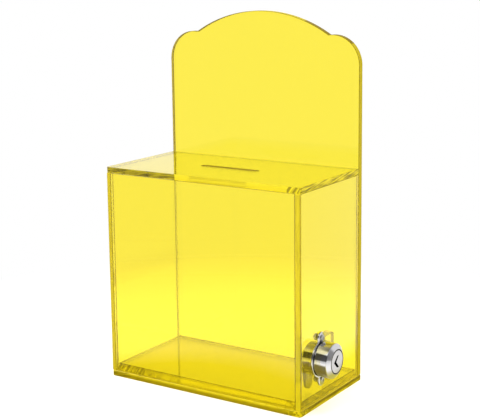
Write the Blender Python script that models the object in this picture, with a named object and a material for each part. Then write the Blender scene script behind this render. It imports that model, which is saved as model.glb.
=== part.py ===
"""Tinted acrylic collection box: a hood of bonded sheets on a two-layer base, with a side lock.

Lengths are in metres, +Z is up and -Y is the front. The origin is the middle of the foot plate's
underside. The hood is the back panel with its shaped header, the front and side walls and the top
plate with the drop slot. It lifts off the base once the lock's cam hangs clear of the catch.
"""

import math

import bmesh
import bpy

# Driving sizes of the sheets
BOX_WIDTH = 0.200
BOX_DEPTH = 0.107
BOX_HEIGHT = 0.194
SHEET = 0.005
PANEL_THICKNESS = 0.006
FOOT_THICKNESS = 0.005
INNER_PLATE_THICKNESS = 0.0065
PLATE_CORNER_RADIUS = 0.003
WALL_CORNER_RADIUS = 0.002
EDGE_BREAK = 0.0004

# Driving sizes of the header's outline
HEADER_HEIGHT = 0.135
LOBE_RADIUS = 0.026
NOTCH_INSET = 0.0303
NOTCH_DROP = 0.0200

# Driving sizes of the drop slot
SLOT_LENGTH = 0.060
SLOT_WIDTH = 0.007
SLOT_FORWARD = 0.0015

# Driving sizes of the lock's body
LOCK_FORWARD = 0.021
HEAD_DIAMETER = 0.030
HEAD_LENGTH = 0.0139
HEAD_SHOULDER = 0.0015
HEAD_EDGE = 0.0006
HOUSING_CHAMFER = 0.0012
CONE_RISE = 0.0025
CONE_LIP = 0.0004
GROOVE_DEPTH = 0.0008
GROOVE_WIDTH = 0.0011
HOUSING_REACH = 0.0080
FLANGE_THICKNESS = 0.0015
FLANGE_MARGIN = 0.0013
EAR_OFFSET = 0.0034
EAR_RADIUS = 0.0053
EAR_FILLET = 0.0015

# Driving sizes of the plug, its keyway and its tail
PLUG_FACE_DIAMETER = 0.0198
PLUG_FACE_THICKNESS = 0.0030
PLUG_DIAMETER = 0.0140
KEYWAY_HEIGHT = 0.0104
KEYWAY_WIDTH = 0.0038
KEYWAY_BEND = 0.0050
KEYWAY_FORWARD = 0.0010
KEYWAY_DEPTH = 0.0120
TAIL_DIAMETER = 0.0090
TAIL_FLATS = 0.0065
STOP_THICKNESS = 0.0015
STOP_TAB_REACH = 0.0024
STOP_TAB_DEGREES = 40.0
STOP_PLAY_DEGREES = 2.0
TURN_DEGREES = 90.0
PLUG_EDGE = 0.0003
TAIL_ROOT = 0.0050

# Driving sizes of the cam and what fixes it
CAM_REACH = 0.0285
CAM_THICKNESS = 0.0020
CAM_HUB_RADIUS = 0.0085
CAM_TIP_RADIUS = 0.0050
CAM_FLOOR_CLEARANCE = 0.0020
CAM_WASHER_MARGIN = 0.0018
CAM_WASHER_THICKNESS = 0.0008
CAM_SCREW_DIAMETER = 0.0040
CAM_SCREW_LENGTH = 0.0080
CAM_SCREW_HEAD_RADIUS = 0.0037
CAM_SCREW_HEAD_HEIGHT = 0.0022

# Driving sizes of the flange screws and nuts
SCREW_DIAMETER = 0.0030
SCREW_HEAD_RADIUS = 0.0027
SCREW_HEAD_HEIGHT = 0.0012
SCREW_TIP = 0.0010
NUT_FLATS = 0.0055
NUT_THICKNESS = 0.0024

# Driving sizes of the catch that the cam turns under
CATCH_THICKNESS = 0.008
CATCH_POST = 0.008
CATCH_FOOT = 0.010
CATCH_LIP_OVERLAP = 0.008
CATCH_LIP_HEIGHT = 0.006
CATCH_CLEARANCE = 0.0012
CATCH_ROUND = 0.0015

# Clearances and overruns
SEAM = 0.0003
HOOD_CLEARANCE = 0.0004
HOLE_CLEARANCE = 0.0003
RUNNING_CLEARANCE = 0.0002
FACE_CLEARANCE = 0.0005
CUT_OVERRUN = 0.002
MERGE_DISTANCE = 0.0000005

# A screw's recess and dome as shares of its head, its tip's chamfer as a share of its shank, and the
# keyway's upper and lower ends as shares of its width
RECESS_REACH_SHARE = 0.62
RECESS_ARM_SHARE = 0.15
RECESS_DEPTH_SHARE = 0.55
DOME_SHARE = 0.35
TIP_SHARE = 0.33
KEYWAY_TOP_SHARE = 0.5
KEYWAY_BOTTOM_SHARE = 0.75

# Facets of round forms
ROUND_STEPS = 64
SMALL_ROUND_STEPS = 24
ARCH_STEPS = 32
CORNER_STEPS = 6
DOME_STEPS = 3
NUT_SIDES = 6
SMOOTH_ANGLE = math.radians(30.0)

# Places worked out from the driving sizes
HALF_WIDTH = BOX_WIDTH / 2
HALF_DEPTH = BOX_DEPTH / 2
HOOD_BOTTOM = FOOT_THICKNESS + SEAM
INNER_PLATE_BOTTOM = FOOT_THICKNESS + SEAM
INNER_PLATE_TOP = INNER_PLATE_BOTTOM + INNER_PLATE_THICKNESS
WALL_TOP = BOX_HEIGHT - SHEET - SEAM
PANEL_FRONT = HALF_DEPTH - PANEL_THICKNESS
HEADER_TOP = BOX_HEIGHT + HEADER_HEIGHT
LOCK_HEIGHT = INNER_PLATE_TOP + CAM_FLOOR_CLEARANCE + CAM_REACH
HEAD_RADIUS = HEAD_DIAMETER / 2
NECK_RADIUS = HEAD_RADIUS - HEAD_SHOULDER
FLANGE_BACK = SEAM
FLANGE_FRONT = FLANGE_BACK + FLANGE_THICKNESS
FLANGE_RADIUS = HEAD_RADIUS + FLANGE_MARGIN
EAR_REACH = HEAD_RADIUS + EAR_OFFSET
HOUSING_END = -(SHEET + HOUSING_REACH)
PLUG_FACE_RADIUS = PLUG_FACE_DIAMETER / 2
PLUG_RADIUS = PLUG_DIAMETER / 2
FACE_FRONT = HEAD_LENGTH + CONE_RISE
FACE_SEAT = FACE_FRONT - PLUG_FACE_THICKNESS - SEAM
STOP_FRONT = HOUSING_END + STOP_THICKNESS
PLUG_SHOULDER = STOP_FRONT + SEAM
TAB_RADIUS = PLUG_RADIUS + STOP_TAB_REACH
CAM_FRONT = HOUSING_END - SEAM
CAM_BACK = CAM_FRONT - CAM_THICKNESS
TAIL_END = CAM_BACK + SEAM
CAM_WASHER_FRONT = CAM_BACK - SEAM
CAM_WASHER_BACK = CAM_WASHER_FRONT - CAM_WASHER_THICKNESS
CAM_SCREW_SEAT = CAM_WASHER_BACK - SEAM
CAM_SCREW_RADIUS = CAM_SCREW_DIAMETER / 2
TAIL_RADIUS = TAIL_DIAMETER / 2
SCREW_RADIUS = SCREW_DIAMETER / 2
SCREW_SEAT = FLANGE_FRONT + SEAM
NUT_FRONT = -(SHEET + SEAM)
NUT_BACK = NUT_FRONT - NUT_THICKNESS
CAM_PLANE = HALF_WIDTH + (CAM_FRONT + CAM_BACK) / 2

# Finishes
ACRYLIC_COLOUR = (0.98, 0.84, 0.06, 1.0)
ACRYLIC_ROUGHNESS = 0.02
ACRYLIC_IOR = 1.49
CHROME_COLOUR = (0.83, 0.82, 0.80, 1.0)
CHROME_ROUGHNESS = 0.08
STEEL_COLOUR = (0.62, 0.61, 0.58, 1.0)
STEEL_ROUGHNESS = 0.30


def clear_scene():
    """Empties the scene of every object."""
    for thing in list(bpy.data.objects):
        bpy.data.objects.remove(thing, do_unlink=True)


def make_material(name, colour, roughness):
    """A Principled finish and its shader."""
    material = bpy.data.materials.new(name)
    material.use_nodes = True
    shader = material.node_tree.nodes["Principled BSDF"]
    shader.inputs["Base Color"].default_value = colour
    shader.inputs["Roughness"].default_value = roughness
    material.diffuse_color = colour
    return material, shader


def acrylic(name):
    """Clear yellow cast acrylic with polished edges."""
    material, shader = make_material(name + "_acrylic", ACRYLIC_COLOUR, ACRYLIC_ROUGHNESS)
    shader.inputs["Transmission Weight"].default_value = 1.0
    shader.inputs["IOR"].default_value = ACRYLIC_IOR
    return material


def chrome(name):
    """Bright chrome plate on a zinc casting."""
    material, shader = make_material(name + "_chrome", CHROME_COLOUR, CHROME_ROUGHNESS)
    shader.inputs["Metallic"].default_value = 1.0
    return material


def zinc_steel(name):
    """Zinc-plated steel."""
    material, shader = make_material(name + "_steel", STEEL_COLOUR, STEEL_ROUGHNESS)
    shader.inputs["Metallic"].default_value = 1.0
    return material


def make_empty(name, location, rotation, parent):
    """A frame that pieces hang from, such as a joint's axis."""
    empty = bpy.data.objects.new(name, None)
    empty.location = location
    empty.rotation_euler = rotation
    empty.parent = parent
    bpy.context.scene.collection.objects.link(empty)
    return empty


def finish_object(name, mesh, material, parent):
    """Links a mesh as one piece, under its frame."""
    piece = bpy.data.objects.new(name, mesh)
    if material:
        mesh.materials.append(material)
    piece.parent = parent
    bpy.context.scene.collection.objects.link(piece)
    return piece


def as_cutter(piece):
    """Marks a helper that only shapes other pieces."""
    piece.hide_render = True
    piece.display_type = "WIRE"
    return piece


def mesh_from(shape, name):
    """Turns a closed bmesh into a mesh with its faces outward and its round stretches smooth."""
    bmesh.ops.remove_doubles(shape, verts=shape.verts, dist=MERGE_DISTANCE)
    bmesh.ops.recalc_face_normals(shape, faces=shape.faces)
    mesh = bpy.data.meshes.new(name)
    shape.to_mesh(mesh)
    shape.free()
    mesh.shade_smooth()
    mesh.set_sharp_from_angle(angle=SMOOTH_ANGLE)
    return mesh


def arc(centre, radius, start, end, steps):
    """Points along an arc, from one angle in degrees to another."""
    points = []
    for step in range(steps + 1):
        angle = math.radians(start + (end - start) * step / steps)
        points.append((centre[0] + radius * math.cos(angle), centre[1] + radius * math.sin(angle)))
    return points


def extruded(name, outline, bottom, top):
    """A mesh of one outline, extruded along Z."""
    shape = bmesh.new()
    ring = [shape.verts.new((x, y, bottom)) for x, y in outline]
    face = shape.faces.new(ring)
    grown = bmesh.ops.extrude_face_region(shape, geom=[face])
    lifted = [item for item in grown["geom"] if isinstance(item, bmesh.types.BMVert)]
    bmesh.ops.translate(shape, verts=lifted, vec=(0.0, 0.0, top - bottom))
    return mesh_from(shape, name)


def turned(name, profile, steps):
    """A mesh of one closed profile of (radius, z) points, spun round Z."""
    shape = bmesh.new()
    corners = [shape.verts.new((radius, 0.0, z)) for radius, z in profile]
    edges = [shape.edges.new((corners[i - 1], corners[i])) for i in range(1, len(corners))]
    if profile[0][0] > 0.0:
        edges.append(shape.edges.new((corners[-1], corners[0])))
    bmesh.ops.spin(
        shape,
        geom=corners + edges,
        cent=(0.0, 0.0, 0.0),
        axis=(0.0, 0.0, 1.0),
        angle=math.tau,
        steps=steps,
        use_merge=True,
    )
    return mesh_from(shape, name)


def add_edge_break(piece, width):
    """Takes the sharp edge off a sheet."""
    bevel = piece.modifiers.new("edge_break", "BEVEL")
    bevel.width = width
    bevel.segments = 1
    bevel.limit_method = "ANGLE"
    bevel.angle_limit = SMOOTH_ANGLE
    bevel.use_clamp_overlap = True


def cut(piece, cutter, operation="DIFFERENCE"):
    """Cuts a helper out of a piece, or joins it on."""
    boolean = piece.modifiers.new(cutter.name, "BOOLEAN")
    boolean.operation = operation
    boolean.object = cutter
    boolean.solver = "EXACT"


def front_rounded_outline(half_width, front, back, radius):
    """A plate's plan, with its two front corners rounded."""
    outline = [(half_width, back), (-half_width, back)]
    left = (-half_width + radius, front + radius)
    right = (half_width - radius, front + radius)
    outline += arc(left, radius, 180.0, 270.0, CORNER_STEPS)
    outline += arc(right, radius, 270.0, 360.0, CORNER_STEPS)
    return outline


def header_outline():
    """The back panel's elevation: straight sides, two round lobes and a wide arch between the notches."""
    notch_x = HALF_WIDTH - NOTCH_INSET
    notch_z = HEADER_TOP - NOTCH_DROP
    arch_radius = (notch_x**2 + NOTCH_DROP**2) / (2 * NOTCH_DROP)
    arch_centre_z = HEADER_TOP - arch_radius
    arch_start = math.degrees(math.atan2(notch_z - arch_centre_z, notch_x))
    lobe_centre_x = HALF_WIDTH - LOBE_RADIUS
    lobe_rise = math.sqrt(LOBE_RADIUS**2 - (NOTCH_INSET - LOBE_RADIUS) ** 2)
    lobe_centre_z = notch_z - lobe_rise
    lobe_end = math.degrees(math.atan2(lobe_rise, LOBE_RADIUS - NOTCH_INSET))
    outline = [(-HALF_WIDTH, HOOD_BOTTOM), (HALF_WIDTH, HOOD_BOTTOM)]
    outline += arc((lobe_centre_x, lobe_centre_z), LOBE_RADIUS, 0.0, lobe_end, ARCH_STEPS // 2)
    outline += arc((0.0, arch_centre_z), arch_radius, arch_start, 180.0 - arch_start, ARCH_STEPS)[1:]
    left_lobe = arc((-lobe_centre_x, lobe_centre_z), LOBE_RADIUS, 180.0 - lobe_end, 180.0, ARCH_STEPS // 2)
    return outline + left_lobe[1:]


def stadium_outline(length, width, centre_y):
    """A slot's plan, with round ends."""
    reach = (length - width) / 2
    right_end = arc((reach, centre_y), width / 2, -90.0, 90.0, 2 * CORNER_STEPS)
    left_end = arc((-reach, centre_y), width / 2, 90.0, 270.0, 2 * CORNER_STEPS)
    return right_end + left_end


def round_cutter(name, radius, bottom, top, parent, place, steps):
    """A round bar that drills a hole along its frame's Z."""
    mesh = extruded(name, arc((0.0, 0.0), radius, 0.0, 360.0, steps)[:-1], bottom, top)
    bar = as_cutter(finish_object(name, mesh, None, parent))
    bar.location = place
    return bar


def build_foot_plate():
    """The full-size plate that the box stands on."""
    outline = front_rounded_outline(HALF_WIDTH, -HALF_DEPTH, HALF_DEPTH, PLATE_CORNER_RADIUS)
    mesh = extruded("foot_plate", outline, 0.0, FOOT_THICKNESS)
    add_edge_break(finish_object("foot_plate", mesh, acrylic("foot_plate"), None), EDGE_BREAK)


def build_inner_plate():
    """The plate bonded on the foot plate, which the hood's walls slip over."""
    side = HALF_WIDTH - SHEET - HOOD_CLEARANCE
    front = -HALF_DEPTH + SHEET + HOOD_CLEARANCE
    back = PANEL_FRONT - HOOD_CLEARANCE
    outline = [(-side, front), (side, front), (side, back), (-side, back)]
    mesh = extruded("inner_plate", outline, INNER_PLATE_BOTTOM, INNER_PLATE_TOP)
    add_edge_break(finish_object("inner_plate", mesh, acrylic("inner_plate"), None), EDGE_BREAK)


def catch_outline():
    """The catch seen along X: a braced post with a lip that hangs over the turned cam's tip."""
    post_front = -LOCK_FORWARD + CAM_REACH + CATCH_CLEARANCE
    post_back = post_front + CATCH_POST
    foot_back = post_back + CATCH_FOOT
    lip_front = post_front - CATCH_LIP_OVERLAP
    lip_bottom = LOCK_HEIGHT + CAM_TIP_RADIUS + CATCH_CLEARANCE
    lip_top = lip_bottom + CATCH_LIP_HEIGHT
    bottom = INNER_PLATE_TOP + SEAM
    brace_top = bottom + CATCH_FOOT
    outline = [(post_front, bottom), (foot_back, bottom)]
    outline += [(foot_back, bottom + CATCH_ROUND), (post_back, brace_top)]
    outline += arc((post_back - CATCH_ROUND, lip_top - CATCH_ROUND), CATCH_ROUND, 0.0, 90.0, CORNER_STEPS)
    outline += arc((lip_front + CATCH_ROUND, lip_top - CATCH_ROUND), CATCH_ROUND, 90.0, 180.0, CORNER_STEPS)
    outline += arc((lip_front + CATCH_ROUND, lip_bottom + CATCH_ROUND), CATCH_ROUND, 180.0, 270.0, CORNER_STEPS)
    outline += arc((post_front - CATCH_ROUND, lip_bottom - CATCH_ROUND), CATCH_ROUND, 90.0, 0.0, CORNER_STEPS)
    return outline


def build_catch():
    """The acrylic hook bonded on the inner plate, in the cam's plane."""
    mesh = extruded("catch_hook", catch_outline(), -CATCH_THICKNESS / 2, CATCH_THICKNESS / 2)
    catch = finish_object("catch_hook", mesh, acrylic("catch_hook"), None)
    catch.rotation_euler = (math.radians(90.0), 0.0, math.radians(90.0))
    catch.location = (CAM_PLANE, 0.0, 0.0)
    add_edge_break(catch, EDGE_BREAK)


def build_back_panel(hood):
    """The tall back sheet, whose upper part is the header."""
    mesh = extruded("back_panel", header_outline(), 0.0, PANEL_THICKNESS)
    panel = finish_object("back_panel", mesh, acrylic("back_panel"), hood)
    panel.rotation_euler = (math.radians(90.0), 0.0, 0.0)
    panel.location = (0.0, HALF_DEPTH, -HOOD_BOTTOM)
    add_edge_break(panel, EDGE_BREAK)


def build_top_plate(hood):
    """The lid sheet over the walls, with the drop slot through it."""
    outline = front_rounded_outline(HALF_WIDTH, -HALF_DEPTH, PANEL_FRONT - SEAM, PLATE_CORNER_RADIUS)
    bottom = BOX_HEIGHT - SHEET - HOOD_BOTTOM
    top = BOX_HEIGHT - HOOD_BOTTOM
    mesh = extruded("top_plate", outline, bottom, top)
    plate = finish_object("top_plate", mesh, acrylic("top_plate"), hood)
    add_edge_break(plate, EDGE_BREAK)
    slot_middle = (PANEL_FRONT - HALF_DEPTH) / 2 - SLOT_FORWARD
    slot = stadium_outline(SLOT_LENGTH, SLOT_WIDTH, slot_middle)
    slot_mesh = extruded("slot_cutter", slot, bottom - CUT_OVERRUN, top + CUT_OVERRUN)
    cut(plate, as_cutter(finish_object("slot_cutter", slot_mesh, None, hood)))


def build_front_wall(hood):
    """The front sheet, between the side walls."""
    side = HALF_WIDTH - SHEET - SEAM
    front = -HALF_DEPTH
    back = -HALF_DEPTH + SHEET
    outline = [(-side, front), (side, front), (side, back), (-side, back)]
    mesh = extruded("front_wall", outline, 0.0, WALL_TOP - HOOD_BOTTOM)
    add_edge_break(finish_object("front_wall", mesh, acrylic("front_wall"), hood), EDGE_BREAK)


def side_wall_outline(side):
    """A side wall's plan, rounded at its front outer corner; side is 1 on the right and -1 on the left."""
    outer = side * HALF_WIDTH
    inner = side * (HALF_WIDTH - SHEET)
    back = PANEL_FRONT - SEAM
    centre = (outer - side * WALL_CORNER_RADIUS, -HALF_DEPTH + WALL_CORNER_RADIUS)
    start = 270.0
    end = 360.0 if side > 0 else 180.0
    corner = arc(centre, WALL_CORNER_RADIUS, start, end, CORNER_STEPS)
    return [(inner, -HALF_DEPTH)] + corner + [(outer, back), (inner, back)]


def build_left_wall(hood):
    """The plain side sheet."""
    mesh = extruded("left_wall", side_wall_outline(-1), 0.0, WALL_TOP - HOOD_BOTTOM)
    add_edge_break(finish_object("left_wall", mesh, acrylic("left_wall"), hood), EDGE_BREAK)


def build_right_wall(hood, lock):
    """The side sheet that carries the lock, drilled for its neck and its two screws."""
    mesh = extruded("right_wall", side_wall_outline(1), 0.0, WALL_TOP - HOOD_BOTTOM)
    wall = finish_object("right_wall", mesh, acrylic("right_wall"), hood)
    add_edge_break(wall, EDGE_BREAK)
    bottom = -SHEET - CUT_OVERRUN
    neck_hole = NECK_RADIUS + HOLE_CLEARANCE
    cut(wall, round_cutter("neck_hole", neck_hole, bottom, CUT_OVERRUN, lock, (0.0, 0.0, 0.0), ROUND_STEPS))
    for name, side in (("upper", -1), ("lower", 1)):
        place = (side * EAR_REACH, 0.0, 0.0)
        radius = SCREW_RADIUS + HOLE_CLEARANCE
        drill = round_cutter("wall_hole_" + name, radius, bottom, CUT_OVERRUN, lock, place, SMALL_ROUND_STEPS)
        cut(wall, drill)


def flange_outline():
    """The flange: a disc with a round-ended ear above and below, each filleted into it."""
    fillet_y = EAR_RADIUS + EAR_FILLET
    fillet_x = math.sqrt((FLANGE_RADIUS + EAR_FILLET) ** 2 - fillet_y**2)
    lean = math.degrees(math.atan2(fillet_y, fillet_x))
    quarter = arc((EAR_REACH, 0.0), EAR_RADIUS, 0.0, 90.0, CORNER_STEPS)
    quarter += arc((fillet_x, fillet_y), EAR_FILLET, 270.0, 180.0 + lean, CORNER_STEPS)
    quarter += arc((0.0, 0.0), FLANGE_RADIUS, lean, 90.0, ROUND_STEPS // 4)[1:]
    half = quarter + [(-x, y) for x, y in quarter[-2::-1]]
    return half + [(x, -y) for x, y in half[-2:0:-1]]


def lock_body_profile():
    """The body's outside from the face to the inner end, closed along the axis."""
    cone_radius = PLUG_FACE_RADIUS + FACE_CLEARANCE + CONE_LIP
    groove_back = FLANGE_FRONT
    return [
        (0.0, FACE_FRONT),
        (cone_radius, FACE_FRONT),
        (HEAD_RADIUS - HEAD_EDGE, HEAD_LENGTH),
        (HEAD_RADIUS, HEAD_LENGTH - HEAD_EDGE),
        (HEAD_RADIUS, groove_back + GROOVE_WIDTH),
        (HEAD_RADIUS - GROOVE_DEPTH, groove_back + GROOVE_WIDTH),
        (HEAD_RADIUS - GROOVE_DEPTH, (FLANGE_BACK + FLANGE_FRONT) / 2),
        (NECK_RADIUS, (FLANGE_BACK + FLANGE_FRONT) / 2),
        (NECK_RADIUS, HOUSING_END + HOUSING_CHAMFER),
        (NECK_RADIUS - HOUSING_CHAMFER, HOUSING_END),
        (0.0, HOUSING_END),
    ]


def lock_bore_profile():
    """What the plug runs in: a counterbore for its face, and a bore right through."""
    face = PLUG_FACE_RADIUS + FACE_CLEARANCE
    bore = PLUG_RADIUS + RUNNING_CLEARANCE
    return [
        (0.0, FACE_FRONT + CUT_OVERRUN),
        (face, FACE_FRONT + CUT_OVERRUN),
        (face, FACE_SEAT),
        (bore, FACE_SEAT),
        (bore, HOUSING_END - CUT_OVERRUN),
        (0.0, HOUSING_END - CUT_OVERRUN),
    ]


def sector_outline(hub_radius, tab_radius, start, end):
    """A disc with one wider sector, from one angle in degrees to another."""
    tab = arc((0.0, 0.0), tab_radius, start, end, SMALL_ROUND_STEPS)
    hub = arc((0.0, 0.0), hub_radius, end, start + 360.0, ROUND_STEPS)
    return tab + hub


def build_lock_body(lock):
    """The cast body: head, eared flange, neck through the wall and the stop at its inner end."""
    mesh = turned("lock_body", lock_body_profile(), ROUND_STEPS)
    body = finish_object("lock_body", mesh, chrome("lock_body"), lock)
    flange_mesh = extruded("flange_blank", flange_outline(), FLANGE_BACK, FLANGE_FRONT)
    cut(body, as_cutter(finish_object("flange_blank", flange_mesh, None, lock)), "UNION")
    bore_mesh = turned("bore_cutter", lock_bore_profile(), ROUND_STEPS)
    cut(body, as_cutter(finish_object("bore_cutter", bore_mesh, None, lock)))
    for name, side in (("upper", -1), ("lower", 1)):
        place = (side * EAR_REACH, 0.0, 0.0)
        radius = SCREW_RADIUS + HOLE_CLEARANCE
        low = FLANGE_BACK - CUT_OVERRUN
        high = FLANGE_FRONT + CUT_OVERRUN
        cut(body, round_cutter("ear_hole_" + name, radius, low, high, lock, place, SMALL_ROUND_STEPS))
    half_tab = STOP_TAB_DEGREES / 2 + STOP_PLAY_DEGREES
    window = sector_outline(
        PLUG_RADIUS + RUNNING_CLEARANCE,
        TAB_RADIUS + HOLE_CLEARANCE,
        180.0 - half_tab,
        180.0 + TURN_DEGREES + half_tab,
    )
    window_mesh = extruded("stop_window", window, HOUSING_END - CUT_OVERRUN, PLUG_SHOULDER)
    cut(body, as_cutter(finish_object("stop_window", window_mesh, None, lock)))


def double_d_outline(radius, flats):
    """A round bar with two flats, as a plug's tail or the hole that fits it."""
    half = math.degrees(math.asin(flats / 2 / radius))
    right = arc((0.0, 0.0), radius, -half, half, CORNER_STEPS)
    left = arc((0.0, 0.0), radius, 180.0 - half, 180.0 + half, CORNER_STEPS)
    return right + left


def keyway_outline():
    """The keyway: a slot that bends towards the front at its middle and narrows at both ends."""
    reach = KEYWAY_HEIGHT / 2
    half = KEYWAY_WIDTH / 2
    top = half * KEYWAY_TOP_SHARE
    bottom = half * KEYWAY_BOTTOM_SHARE
    middle = -KEYWAY_BEND / 2 - KEYWAY_FORWARD
    end = KEYWAY_BEND / 2 - KEYWAY_FORWARD
    front = [(-reach, end - top), (0.0, middle - half), (reach, end - bottom)]
    back = [(reach, end + bottom), (0.0, middle + half), (-reach, end + top)]
    return front + back


def build_lock_plug(plug):
    """The turning plug: its face, its barrel with the keyway, and a flatted tail."""
    profile = [
        (0.0, FACE_FRONT),
        (PLUG_FACE_RADIUS - PLUG_EDGE, FACE_FRONT),
        (PLUG_FACE_RADIUS, FACE_FRONT - PLUG_EDGE),
        (PLUG_FACE_RADIUS, FACE_SEAT + SEAM),
        (PLUG_RADIUS, FACE_SEAT + SEAM),
        (PLUG_RADIUS, PLUG_SHOULDER),
        (0.0, PLUG_SHOULDER),
    ]
    body = finish_object("lock_plug", turned("lock_plug", profile, ROUND_STEPS), chrome("lock_plug"), plug)
    tail_outline = double_d_outline(TAIL_RADIUS, TAIL_FLATS)
    tail_mesh = extruded("plug_tail", tail_outline, TAIL_END, PLUG_SHOULDER + TAIL_ROOT)
    cut(body, as_cutter(finish_object("plug_tail", tail_mesh, None, plug)), "UNION")
    key_mesh = extruded("keyway_cutter", keyway_outline(), FACE_FRONT - KEYWAY_DEPTH, FACE_FRONT + CUT_OVERRUN)
    cut(body, as_cutter(finish_object("keyway_cutter", key_mesh, None, plug)))
    radius = CAM_SCREW_RADIUS + HOLE_CLEARANCE
    deep = CAM_SCREW_SEAT + CAM_SCREW_LENGTH + SEAM
    low = TAIL_END - CUT_OVERRUN
    cut(body, round_cutter("tail_hole", radius, low, deep, plug, (0.0, 0.0, 0.0), SMALL_ROUND_STEPS))


def build_stop_washer(plug):
    """The washer keyed on the tail, whose tab runs in the body's window and ends the turn."""
    half = STOP_TAB_DEGREES / 2
    outline = sector_outline(PLUG_RADIUS, TAB_RADIUS, 180.0 - half, 180.0 + half)
    mesh = extruded("stop_washer", outline, HOUSING_END, STOP_FRONT)
    washer = finish_object("stop_washer", mesh, zinc_steel("stop_washer"), plug)
    add_tail_hole(washer, "stop_washer_hole", HOUSING_END, STOP_FRONT, plug)


def add_tail_hole(piece, name, low, high, plug):
    """Cuts the flatted hole that fits on the plug's tail."""
    outline = double_d_outline(TAIL_RADIUS + HOLE_CLEARANCE, TAIL_FLATS + 2 * HOLE_CLEARANCE)
    mesh = extruded(name, outline, low - CUT_OVERRUN, high + CUT_OVERRUN)
    cut(piece, as_cutter(finish_object(name, mesh, None, plug)))


def cam_outline():
    """The cam: a wide hub, straight tapered sides and a round tip that points down at rest."""
    tip_centre = CAM_REACH - CAM_TIP_RADIUS
    lean = math.degrees(math.acos((CAM_HUB_RADIUS - CAM_TIP_RADIUS) / tip_centre))
    tip = arc((tip_centre, 0.0), CAM_TIP_RADIUS, -lean, lean, SMALL_ROUND_STEPS // 2)
    hub = arc((0.0, 0.0), CAM_HUB_RADIUS, lean, 360.0 - lean, SMALL_ROUND_STEPS)
    return tip + hub


def build_lock_cam(plug):
    """The cam on the plug's tail."""
    mesh = extruded("lock_cam", cam_outline(), CAM_BACK, CAM_FRONT)
    cam = finish_object("lock_cam", mesh, zinc_steel("lock_cam"), plug)
    add_tail_hole(cam, "lock_cam_hole", CAM_BACK, CAM_FRONT, plug)


def build_cam_washer(plug):
    """The plain washer under the cam screw's head."""
    outer = TAIL_RADIUS + CAM_WASHER_MARGIN
    inner = CAM_SCREW_RADIUS + HOLE_CLEARANCE
    profile = [
        (outer, CAM_WASHER_FRONT),
        (outer, CAM_WASHER_BACK),
        (inner, CAM_WASHER_BACK),
        (inner, CAM_WASHER_FRONT),
    ]
    mesh = turned("cam_washer", profile, SMALL_ROUND_STEPS)
    finish_object("cam_washer", mesh, zinc_steel("cam_washer"), plug)


def screw_profile(head_radius, head_height, shank_radius, shank_length):
    """A pan-head screw with its head's seat at zero and its shank along -Z."""
    dome = DOME_SHARE * head_height
    shoulder = head_height - dome
    top = []
    for step in range(DOME_STEPS + 1):
        angle = math.radians(90.0 * step / DOME_STEPS)
        inset = DOME_SHARE * head_radius * (1.0 - math.cos(angle))
        top.append((head_radius - inset, shoulder + dome * math.sin(angle)))
    tip = TIP_SHARE * shank_radius
    return (
        [(0.0, head_height)]
        + top[::-1]
        + [(head_radius, 0.0), (shank_radius, 0.0), (shank_radius, -shank_length + tip)]
        + [(shank_radius - tip, -shank_length), (0.0, -shank_length)]
    )


def cross_outline(reach, arm):
    """A plus shape, as a cross recess."""
    return [
        (reach, -arm), (reach, arm), (arm, arm), (arm, reach), (-arm, reach), (-arm, arm),
        (-reach, arm), (-reach, -arm), (-arm, -arm), (-arm, -reach), (arm, -reach), (arm, -arm),
    ]


def build_screw(name, head_radius, head_height, shank_radius, shank_length, parent, place, rotation):
    """A pan-head screw with a cross recess."""
    profile = screw_profile(head_radius, head_height, shank_radius, shank_length)
    screw = finish_object(name, turned(name, profile, SMALL_ROUND_STEPS), zinc_steel(name), parent)
    screw.location = place
    screw.rotation_euler = rotation
    cross = cross_outline(RECESS_REACH_SHARE * head_radius, RECESS_ARM_SHARE * head_radius)
    floor = head_height - RECESS_DEPTH_SHARE * head_height
    mesh = extruded(name + "_recess", cross, floor, head_height + CUT_OVERRUN)
    recess = as_cutter(finish_object(name + "_recess", mesh, None, parent))
    recess.location = place
    recess.rotation_euler = rotation
    cut(screw, recess)


def build_cam_screw(plug):
    """The screw that clamps the cam on the tail, its head facing into the box."""
    build_screw(
        "cam_screw", CAM_SCREW_HEAD_RADIUS, CAM_SCREW_HEAD_HEIGHT, CAM_SCREW_RADIUS, CAM_SCREW_LENGTH,
        plug, (0.0, 0.0, CAM_SCREW_SEAT), (math.pi, 0.0, 0.0),
    )


def build_flange_fasteners(lock):
    """A screw and a nut through each ear and the wall."""
    length = SCREW_SEAT - NUT_BACK + SCREW_TIP
    nut_radius = NUT_FLATS / math.sqrt(3)
    for name, side in (("upper", -1), ("lower", 1)):
        x = side * EAR_REACH
        build_screw(
            "lock_screw_" + name, SCREW_HEAD_RADIUS, SCREW_HEAD_HEIGHT, SCREW_RADIUS, length,
            lock, (x, 0.0, SCREW_SEAT), (0.0, 0.0, 0.0),
        )
        nut_name = "lock_nut_" + name
        outline = arc((0.0, 0.0), nut_radius, 0.0, 360.0, NUT_SIDES)[:-1]
        mesh = extruded(nut_name, outline, NUT_BACK, NUT_FRONT)
        nut = finish_object(nut_name, mesh, zinc_steel(nut_name), lock)
        nut.location = (x, 0.0, 0.0)
        radius = SCREW_RADIUS + HOLE_CLEARANCE
        low = NUT_BACK - CUT_OVERRUN
        high = NUT_FRONT + CUT_OVERRUN
        thread = round_cutter(nut_name + "_thread", radius, low, high, lock, (x, 0.0, 0.0), SMALL_ROUND_STEPS)
        cut(nut, thread)


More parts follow.
